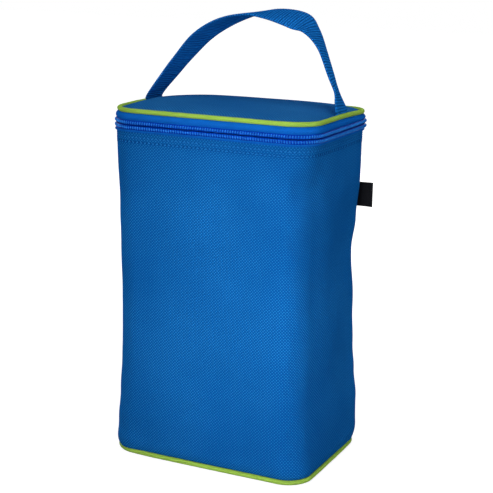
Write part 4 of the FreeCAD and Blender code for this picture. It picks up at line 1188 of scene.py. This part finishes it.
def bead_tree():
    tree = bpy.data.node_groups.new("beads_along_rail", "GeometryNodeTree")
    tree.interface.new_socket("Geometry", in_out="OUTPUT", socket_type="NodeSocketGeometry")
    add_input(tree, "Rail", "NodeSocketGeometry")
    for name, value in (("Pitch", 0.001), ("Lean", 0.0), ("Play", 0.0)):
        add_input(tree, name, "NodeSocketFloat", value)
    add_input(tree, "Bead Size", "NodeSocketVector", (0.001, 0.001, 0.001))
    add_input(tree, "Sides", "NodeSocketInt", 8)
    add_input(tree, "Finish", "NodeSocketMaterial")
    board = Board(tree)
    given = board.node("NodeGroupInput").socket.node.outputs

    def value(name):
        return Field(board, given[name])

    curve = board.node("GeometryNodeMeshToCurve", values={"Mesh": value("Rail")})
    values = {"Curve": curve, "Length": value("Pitch")}
    marks = board.node("GeometryNodeCurveToPoints", {"mode": "LENGTH"}, values)
    tangent = Field(board, marks.socket.node.outputs["Tangent"])
    settings, values = {"data_type": "FLOAT_VECTOR"}, {"Name": "outward"}
    outward = board.node("GeometryNodeInputNamedAttribute", settings, values)
    turned = board.node("FunctionNodeAlignRotationToVector", {"axis": "X"}, {"Vector": tangent})
    values = {"Rotation": turned, "Vector": outward}
    turned = board.node("FunctionNodeAlignRotationToVector", {"axis": "Y", "pivot_axis": "X"}, values)
    values = {2: value("Play") * -1, 3: value("Play"), "Seed": 7}
    loose = board.node("FunctionNodeRandomValue", {"data_type": "FLOAT"}, values, 1)
    lean = board.node("ShaderNodeCombineXYZ", values={"Y": value("Lean") + loose})
    lean = board.node("FunctionNodeEulerToRotation", values={"Euler": lean})
    turned = board.node("FunctionNodeRotateRotation", {"rotation_space": "LOCAL"}, {0: turned, 1: lean})
    values = {"Segments": value("Sides"), "Rings": 5, "Radius": 0.5}
    ball = board.node("GeometryNodeMeshUVSphere", values=values)
    values = {"Points": marks, "Instance": ball, "Rotation": turned, "Scale": value("Bead Size")}
    beads = board.node("GeometryNodeInstanceOnPoints", values=values)
    beads = board.node("GeometryNodeRealizeInstances", values={"Geometry": beads})
    beads = board.node("GeometryNodeSetShadeSmooth", values={"Geometry": beads})
    beads = board.node("GeometryNodeSetMaterial", values={"Geometry": beads, "Material": value("Finish")})
    board.node("NodeGroupOutput", values={"Geometry": beads}, out=None)
    return tree


beads_along_rail = bead_tree()


def beads(name, points, outward, finish, **inputs):
    """A row of beads along points in millimetres; lengths among the inputs are in metres."""
    rail = mesh_piece(name, points, [])
    rail.data.edges.add(len(points) - 1)
    pairs = np.column_stack([np.arange(len(points) - 1), np.arange(1, len(points))])
    rail.data.edges.foreach_set("vertices", pairs.ravel())
    attribute = rail.data.attributes.new("outward", "FLOAT_VECTOR", "POINT")
    attribute.data.foreach_set("vector", np.asarray(outward, float).ravel())
    rows = rail.modifiers.new("beads", "NODES")
    rows.node_group = beads_along_rail
    values = {"Finish": finish, **{key.replace("_", " "): value for key, value in inputs.items()}}
    for socket in beads_along_rail.interface.items_tree:
        if socket.name in values and socket.in_out == "INPUT":
            rows[socket.identifier] = values[socket.name]
    return bake_modifiers(rail)


def join(name, *parts):
    """Several meshes as one piece."""
    work = bmesh.new()
    for part in parts:
        work.from_mesh(part.data)
    mesh = bpy.data.meshes.new(name)
    work.to_mesh(mesh)
    work.free()
    for part in parts:
        bpy.data.objects.remove(part)
    return add_object(name, mesh)


print("nodes in the bead tree:", len(beads_along_rail.nodes))

# %% [markdown]
# ### The zipper's coils
# Each half of the chain is a core on its tape with the turns of the wire over it. The core
# is coloured darker, as painted shade under and between the turns.
# The turns lean a little, as a wound wire does, and the two halves leave a narrow dark
# groove between them. They run on into both rear corners and stop a little before the
# hinge.

# %% Coils
COIL_PITCH, COIL_LEAN = 1.85, 0.16
COIL_OUTSET, COIL_DEPTH = 2.35, 2.1
CORE_OUTSET, CORE_DEPTH = 1.85, 0.75
coil_places = tape_marks(REAR_LEFT[0] + bend / 3, REAR_RIGHT[0] + bend * 2 / 3, 0.6)


def at_level(flat, level=0.0):
    """Points or directions in plan, all given this height."""
    return np.column_stack([flat, np.full(len(flat), float(level))])


def rail_points(places, outset, level):
    flat, outward = way(places, outset - tuck(places, level))
    return at_level(flat, level), at_level(outward)


def coil(name, node, lean, body):
    low, high = span(node)
    middle, half = (low[2] + high[2]) / 2, (high[2] - low[2]) / 2
    around = np.linspace(0, 2 * math.pi, 9)[:-1]
    section = CORE_OUTSET + CORE_DEPTH * np.cos(around), middle + (half + 0.25) * np.sin(around)
    core = band(name + "_core", lambda place: section, coil_places)
    # painted shade: the darker core shows in the groove and between the turns
    dress(core, coil_shade, body, "zipper_coil")
    points, outward = rail_points(coil_places, COIL_OUTSET, middle)
    size = Vector((COIL_PITCH * 0.55, COIL_DEPTH, 1.7 * half)) * MM
    turns = beads(name, points, outward, coil_nylon, Pitch=COIL_PITCH * MM, Lean=lean, Bead_Size=size)
    return dress(turns, coil_nylon, body, "zipper_coil", node)


lower_coil = coil("lower_coil", "lower_zipper_coil", COIL_LEAN, "bag")
upper_coil = coil("upper_coil", "upper_zipper_coil", -COIL_LEAN, "lid")
print("faces in the coils:", [len(piece.data.polygons) for piece in (lower_coil, upper_coil)])

# %% [markdown]
# ### The fabric hinge
# Between the ends of the zipper the back of the lid is held by a strip of canvas. It is
# the only cloth that joins bag and lid; on a real bag it bends as the lid opens, its foot
# staying with the bag and its head going with the lid. Here it is one still sheet, tied
# to neither.

# %% The hinge strip
hinge_levels = np.linspace(hinge_low[2] - 1.6, hinge_high[2] + 0.2, 34)
hinge_places = np.linspace(WAY_ROUND - hinge_high[0], WAY_ROUND + hinge_high[0], 60)
HINGE_THICKNESS = 0.8


def hinge_points():
    place, level = np.meshgrid(hinge_places, hinge_levels)
    share = (level - hinge_levels[0]) / (hinge_levels[-1] - hinge_levels[0])
    outset = 0.35 * np.sin(math.pi * share) + ripple(place, level, 18.0, 61.0) * 0.15
    outset -= 0.6 * np.exp(-((share / 0.08) ** 2)) + 0.5 * np.exp(-(((1 - share) / 0.08) ** 2))
    flat, _ = way(place, outset)
    return np.concatenate([flat, level[..., None]], axis=-1)


hinge = grid_piece("hinge_strip", hinge_points(), hinge_places, hinge_levels)
hinge = thicken(hinge, HINGE_THICKNESS)
dress(hinge, canvas, None, "canvas", "back_hinge_strip")
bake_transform(hinge)
hinge_flat = (2 * hinge_high[0] * MM, (hinge_levels[-1] - hinge_levels[0]) * MM)
print("hinge strip:", [round(side / MM, 1) for side in hinge_flat])

# %% [markdown]
# ### Topstitching
# Two rows of stitches hold the folded hem under the zipper, round the front and sides
# and across the back. They lie in the grooves that were pressed into the canvas, each
# stitch between two of the needle holes, which have painted shade.

# %% Stitch rows
stitch_size = Vector((1.9, 0.5, 0.6)) * MM
STITCH_LIFT, SEAM_CLEAR = 0.15, 2


def stitch_row(name, start, end, level):
    """One row between two seams; its first stitch is at a whole number of pitches."""
    start = math.ceil((start + SEAM_CLEAR) / STITCH_PITCH) * STITCH_PITCH
    places = tape_marks(start, end - SEAM_CLEAR, 1.5)
    line = wall_points(places, np.array([level]), 0, canvas_detail)[0]
    _, outward = way(places)
    outward = at_level(outward)
    size = {"Pitch": STITCH_PITCH * MM, "Bead_Size": stitch_size, "Sides": 6}
    return beads(name, line + outward * STITCH_LIFT, outward, blue_thread, Play=0.06, **size)


rows = []
for index, level in enumerate(STITCH_LEVELS):
    rows.append(stitch_row(f"front_row_{index}", *REAR_SEAMS, level))
    rows.append(stitch_row(f"back_row_{index}", *back_ends, level))
topstitching = dress(join("topstitching", *rows), blue_thread, "bag", "canvas")
print("faces in the topstitching:", len(topstitching.data.polygons))

# %% [markdown]
# ## The carry handle
# One length of webbing runs from seam to seam over the lid. It leaves both seams almost
# upright, leans over in a lopsided arch, and twists a little along its way, as a strap
# does that was last let go by hand. Its line passes smoothly through a few stations, and
# every station also says how far the strap is twisted there. Those between the feet began
# as a fit to the strap's two edges and were rounded; the right leg's were then moved.
# The stations at the feet were set one by one.

# %% The strap's line
STRAP_STATIONS = (
    # x, y, z of the middle, and the twist about the line in degrees
    (-74.4, 8.0, 249.5, 0),
    (-73.5, 8.2, 254.5, 1),
    (-62.0, 9.8, 269.5, -4),
    (-51.5, 9.5, 281.5, -7),
    (-35.0, 7.8, 297.5, -12),
    (-17.5, 6.4, 308.0, -11),
    (2.0, 6.0, 314.3, -3),
    (20.5, 6.4, 315.5, 12),
    (40, 6, 311.5, 21),
    (49, 6, 305.5, 3),
    (57.5, 5, 294, -11),
    (65, 4, 277, -14),
    (69.5, 5, 265, -16),
    (73, 4.5, 254.5, -4),
    (74, 4.5, 249.5, 0),
)
STRAP_WIDTH, STRAP_THICKNESS = 25.0, 1.4
RIB_PITCH, ROWS_PER_RIB = 1.9, 5


def through(stations, step):
    """A smooth line through stations (Catmull-Rom), cut into even steps of its length."""
    stations = np.array(stations, float)
    before, after = 2 * stations[:1] - stations[1:2], 2 * stations[-1:] - stations[-2:-1]
    padded = np.concatenate([before, stations, after])
    parts = []
    for a, b, c, d in zip(padded, padded[1:], padded[2:], padded[3:]):
        t = np.linspace(0, 1, 40, endpoint=False)[:, None]
        square, cube = 2 * a - 5 * b + 4 * c - d, 3 * b - a - 3 * c + d
        parts.append(0.5 * (2 * b + (c - a) * t + square * t ** 2 + cube * t ** 3))
    line = np.concatenate([*parts, stations[-1:]])
    length = run_along(line[:, :3])
    even = np.linspace(0, length[-1], round(length[-1] / step) + 1)
    return np.column_stack([np.interp(even, length, column) for column in line.T]), even


strap_line, strap_length = through(STRAP_STATIONS, RIB_PITCH / ROWS_PER_RIB)
along = np.gradient(strap_line[:, :3], axis=0)
along /= np.linalg.norm(along, axis=1)[:, None]
flat_side = np.array([0.0, 1.0, 0.0]) - along * along[:, 1:2]
flat_side /= np.linalg.norm(flat_side, axis=1)[:, None]
upper_side = np.cross(along, flat_side)
twist = np.radians(strap_line[:, 3])[:, None]
across_strap = flat_side * np.cos(twist) + upper_side * np.sin(twist)
off_strap = np.cross(along, across_strap)
off_strap *= np.sign(off_strap[len(off_strap) // 2, 2])
print("strap length:", strap_length[-1].round(1), "mm")

# %% [markdown]
# ### The webbing
# The strap's section is laid square to its line at every step. The weave's ribs run
# across it and are modelled, because they show on its edges. Near both ends it gathers
# and waves a little, and a crease is pressed into its right foot.

# %% The strap
STRAP_COLUMNS = 14
FOOT_CREASE = -7.0


def strap_section():
    """The webbing's section: across its width and off its face, with rounded selvedges."""
    half = STRAP_WIDTH / 2
    crease_columns = FOOT_CREASE + np.linspace(-1.8, 1.8, 7)
    columns = np.union1d(np.linspace(-half + 0.5, half - 0.5, STRAP_COLUMNS), crease_columns)
    upper = [(place, 0.5) for place in columns]
    lower = [(place, -0.5) for place in columns[::-1]]
    right = [(half - 0.1, 0.3), (half - 0.1, -0.3)]
    left = [(0.1 - half, -0.3), (0.1 - half, 0.3)]
    return np.array([*upper, *right, *lower, *left])


def strap_piece():
    section = strap_section()
    rib = np.abs(np.sin(math.pi * strap_length / RIB_PITCH))[:, None]
    curl = 0.7 * (1 - (2 * section[:, 0] / STRAP_WIDTH) ** 2)
    ends = np.minimum(strap_length, strap_length[-1] - strap_length)[:, None]
    gather = 1 - 0.14 * np.exp(-ends / 5.0)
    sway = ripple(strap_length, strap_length * 0, 25.0, 71.0)[:, None] * 0.25
    across = section[:, 0] * gather + sway
    wave = np.sin(section[:, 0] * 0.45) * np.exp(-ends / 7.0) * 0.8
    to_right_foot = strap_length[-1] - strap_length[:, None]
    crease = 1.6 * np.exp(-((section[:, 0] - FOOT_CREASE) / 0.9) ** 2)
    crease = crease * np.exp(-((to_right_foot - 9) / 7) ** 2)
    off = section[:, 1] * STRAP_THICKNESS * (0.86 + 0.14 * rib) + curl + wave - crease
    points = strap_line[:, None, :3] + across_strap[:, None] * across[..., None]
    points = points + off_strap[:, None] * off[..., None]
    girth = run_along(section)
    girth = np.append(girth, girth[-1] + 0.6)
    piece = grid_piece("carry_strap", points, girth, strap_length, loop_across=True)
    return close_up(piece, fill_ends=True)


strap = strap_piece()
dress(strap, webbing_cloth, None, "webbing", "handle_strap", "handle_end_left", "handle_end_right")
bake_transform(strap)
print("faces in the strap:", len(strap.data.polygons))

# %% [markdown]
# ## The side label
# A short black ribbon is folded in two and its cut ends are caught in the rear right
# seam. It is left bare. Ribbon this small keeps a round fold and curls a little.

# %% The label
label_low, label_high = span("side_label")
LABEL_TURN = math.radians(15)
LABEL_LENGTH, LABEL_GAP, LABEL_THICKNESS = 12.5, 0.55, 0.35


def label_piece():
    base = np.array([label_low[0] + 0.2, label_low[1] + 0.55])
    out = np.array([math.cos(LABEL_TURN), math.sin(LABEL_TURN)])
    side = np.array([-out[1], out[0]])
    reach = LABEL_LENGTH - LABEL_GAP - 0.4
    front = [(distance, -LABEL_GAP) for distance in np.linspace(0, reach, 14)]
    fold = [(reach + LABEL_GAP * math.cos(a), LABEL_GAP * math.sin(a)) for a in np.linspace(-1.2, 1.2, 7)]
    path = np.array([*front, *fold, *[(distance, -off) for distance, off in front[::-1]]])
    levels = np.linspace(label_low[2] + 0.2, label_high[2] - 0.2, 16)
    rows = []
    for level in levels:
        share = (level - levels[0]) / (levels[-1] - levels[0])
        away = path[:, 0] / LABEL_LENGTH
        curl = (1.1 * away ** 2) * (share - 0.35) + 0.25 * np.sin(away * 5 + share * 2) * away
        flat = base + out * (path[:, :1] * (1 - 0.01 * share)) + side * (path[:, 1] + curl)[:, None]
        droop = -0.5 * away ** 1.5
        rows.append(np.column_stack([flat, level + droop]))
    girth = run_along(path)
    return thicken(grid_piece("bare_label", rows, girth, levels), LABEL_THICKNESS)


label = dress(label_piece(), label_cloth, "bag", "label", "side_label")
print("label:", (label_high - label_low).round(1))

# %% [markdown]
# ## Slider and pull
# The slider and its pull are cast metal, and their working shapes are right already. They
# are copied, their loose triangles are merged, and every edge is rounded a little,
# because no casting has a knife edge and a rounded edge is what catches the light.

# %% Cast pieces
def cast_piece(name, node, rounding, body):
    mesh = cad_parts[node].data.copy()
    piece = add_object(name, mesh)
    work = bmesh.new()
    work.from_mesh(mesh)
    bmesh.ops.remove_doubles(work, verts=work.verts, dist=0.01 * MM)
    bmesh.ops.dissolve_limit(work, angle_limit=math.radians(2), verts=work.verts, edges=work.edges)
    work.to_mesh(mesh)
    work.free()
    edge = piece.modifiers.new("rounded", "BEVEL")
    edge.width, edge.segments = rounding * MM, 3
    edge.limit_method, edge.angle_limit = "ANGLE", math.radians(30)
    edge.use_clamp_overlap = True
    bake_modifiers(piece)
    piece.data.polygons.foreach_set("use_smooth", [True] * len(piece.data.polygons))
    return dress(close_up(piece), slider_lacquer, body, "slider", node)


slider = cast_piece("slider_casting", "zipper_slider", 0.22, "slider")
pull = cast_piece("pull_tab", "zipper_pull", 0.25, "pull")
print("faces in the castings:", [len(piece.data.polygons) for piece in (slider, pull)])

# %% [markdown]
# ## The floor
# The bag stands on a plain white sweep. It glows by itself, a little less near the bag,
# so that it looks white everywhere, and it still takes the bag's shadow. The glow is only
# seen directly, off gloss or through glass. Light that the cloth scatters doesn't meet
# it, so the sweep doesn't brighten the bag from below.

# %% The floor
def in_view(board):
    """1 for rays from the camera, off gloss and through glass, and 0 for the rest."""
    rays = [board.node("ShaderNodeLightPath", out=out) for out in (0, 3, 6)]
    return rays[0].math("MAXIMUM", rays[1]).math("MAXIMUM", rays[2])


def sweep_finish():
    """White to the camera, and still able to take the bag's shadow."""
    finish = Finish("floor_paper", Roughness=0.9, Specular_IOR_Level=0.1)
    finish.colour(finish.mix(shade(150, 150, 150), shade(158, 158, 158), finish.mottle(40)))
    away = finish.node("ShaderNodeVectorMath", {"operation": "LENGTH"}, (finish.place(),), 1)
    glow = finish.mix(shade(238, 238, 238), (1, 1, 1, 1), ((away - 0.15) / 0.4).clamped())
    finish.put(finish.shader.inputs["Emission Color"], finish.mix((0, 0, 0, 1), glow, in_view(finish)))
    finish.shader.inputs["Emission Strength"].default_value = 1.0
    return finish.material


FLOOR_HALF = 4000.0
floor_level = cad_low.z / MM
floor_corners = ((-1, -1), (1, -1), (1, 1), (-1, 1))
floor_points = [(x * FLOOR_HALF, y * FLOOR_HALF, floor_level) for x, y in floor_corners]
floor = mesh_piece("floor", floor_points, [(0, 1, 2, 3)])
floor.data.materials.append(sweep_finish())
print("floor level:", round(floor_level, 3), "mm")

# %% [markdown]
# ## Lamps and world
# The key light is an upright strip close to the front and a little to its right, so the
# front is bright and the light falls away round the front right corner. Four large soft
# boxes stand further off: over the bag, at its right, at its left and behind it. The
# world adds what a white room gives back.

# %% Lamps and world
ROOM_LIGHT = 0.12
world = bpy.data.worlds.new("white_room")
bpy.context.scene.world = world
world.use_nodes = True
room = Board(world.node_tree)
background = world.node_tree.nodes["Background"]
background.inputs["Color"].default_value = (1, 1, 1, 1)
room.put(background.inputs["Strength"], ROOM_LIGHT + in_view(room) * (1 - ROOM_LIGHT))

LAMPS = (
    # name, place and aim in metres, width and height, watts, spread in degrees
    ("key_strip", (0.09, -0.40, 0.16), (0.03, -0.05, 0.13), 0.1, 0.36, 0.27, 64),
    ("top_box", (0.1, -0.3, 1.2), (0.0, 0.0, 0.2), 0.8, 0.8, 5.0, 180),
    ("side_box", (1.1, -0.15, 0.3), (0.08, 0.0, 0.13), 0.5, 0.8, 3.7, 180),
    ("left_box", (-1.1, 0.35, 0.3), (-0.08, 0.0, 0.13), 0.5, 0.8, 6.5, 180),
    ("back_box", (-0.1, 1.2, 0.35), (0.0, 0.05, 0.13), 0.8, 0.8, 6.0, 180),
)
for name, place, aim, width, height, watts, spread in LAMPS:
    lamp = add_object(name, bpy.data.lights.new(name, "AREA"))
    lamp.data.shape, lamp.data.size, lamp.data.size_y = "RECTANGLE", width, height
    lamp.data.energy, lamp.data.spread = watts, math.radians(spread)
    lamp.location = Vector(place)
    lamp.rotation_mode = "QUATERNION"
    lamp.rotation_quaternion = (Vector(place) - Vector(aim)).to_track_quat("Z", "Y")
bpy.context.scene.view_settings.view_transform = "Standard"
print("lamps:", len(bpy.data.lights))

# %% [markdown]
# ## Sizes, and the end
# The dressed bag should be the size of its working model, give or take what cloth stands
# proud.
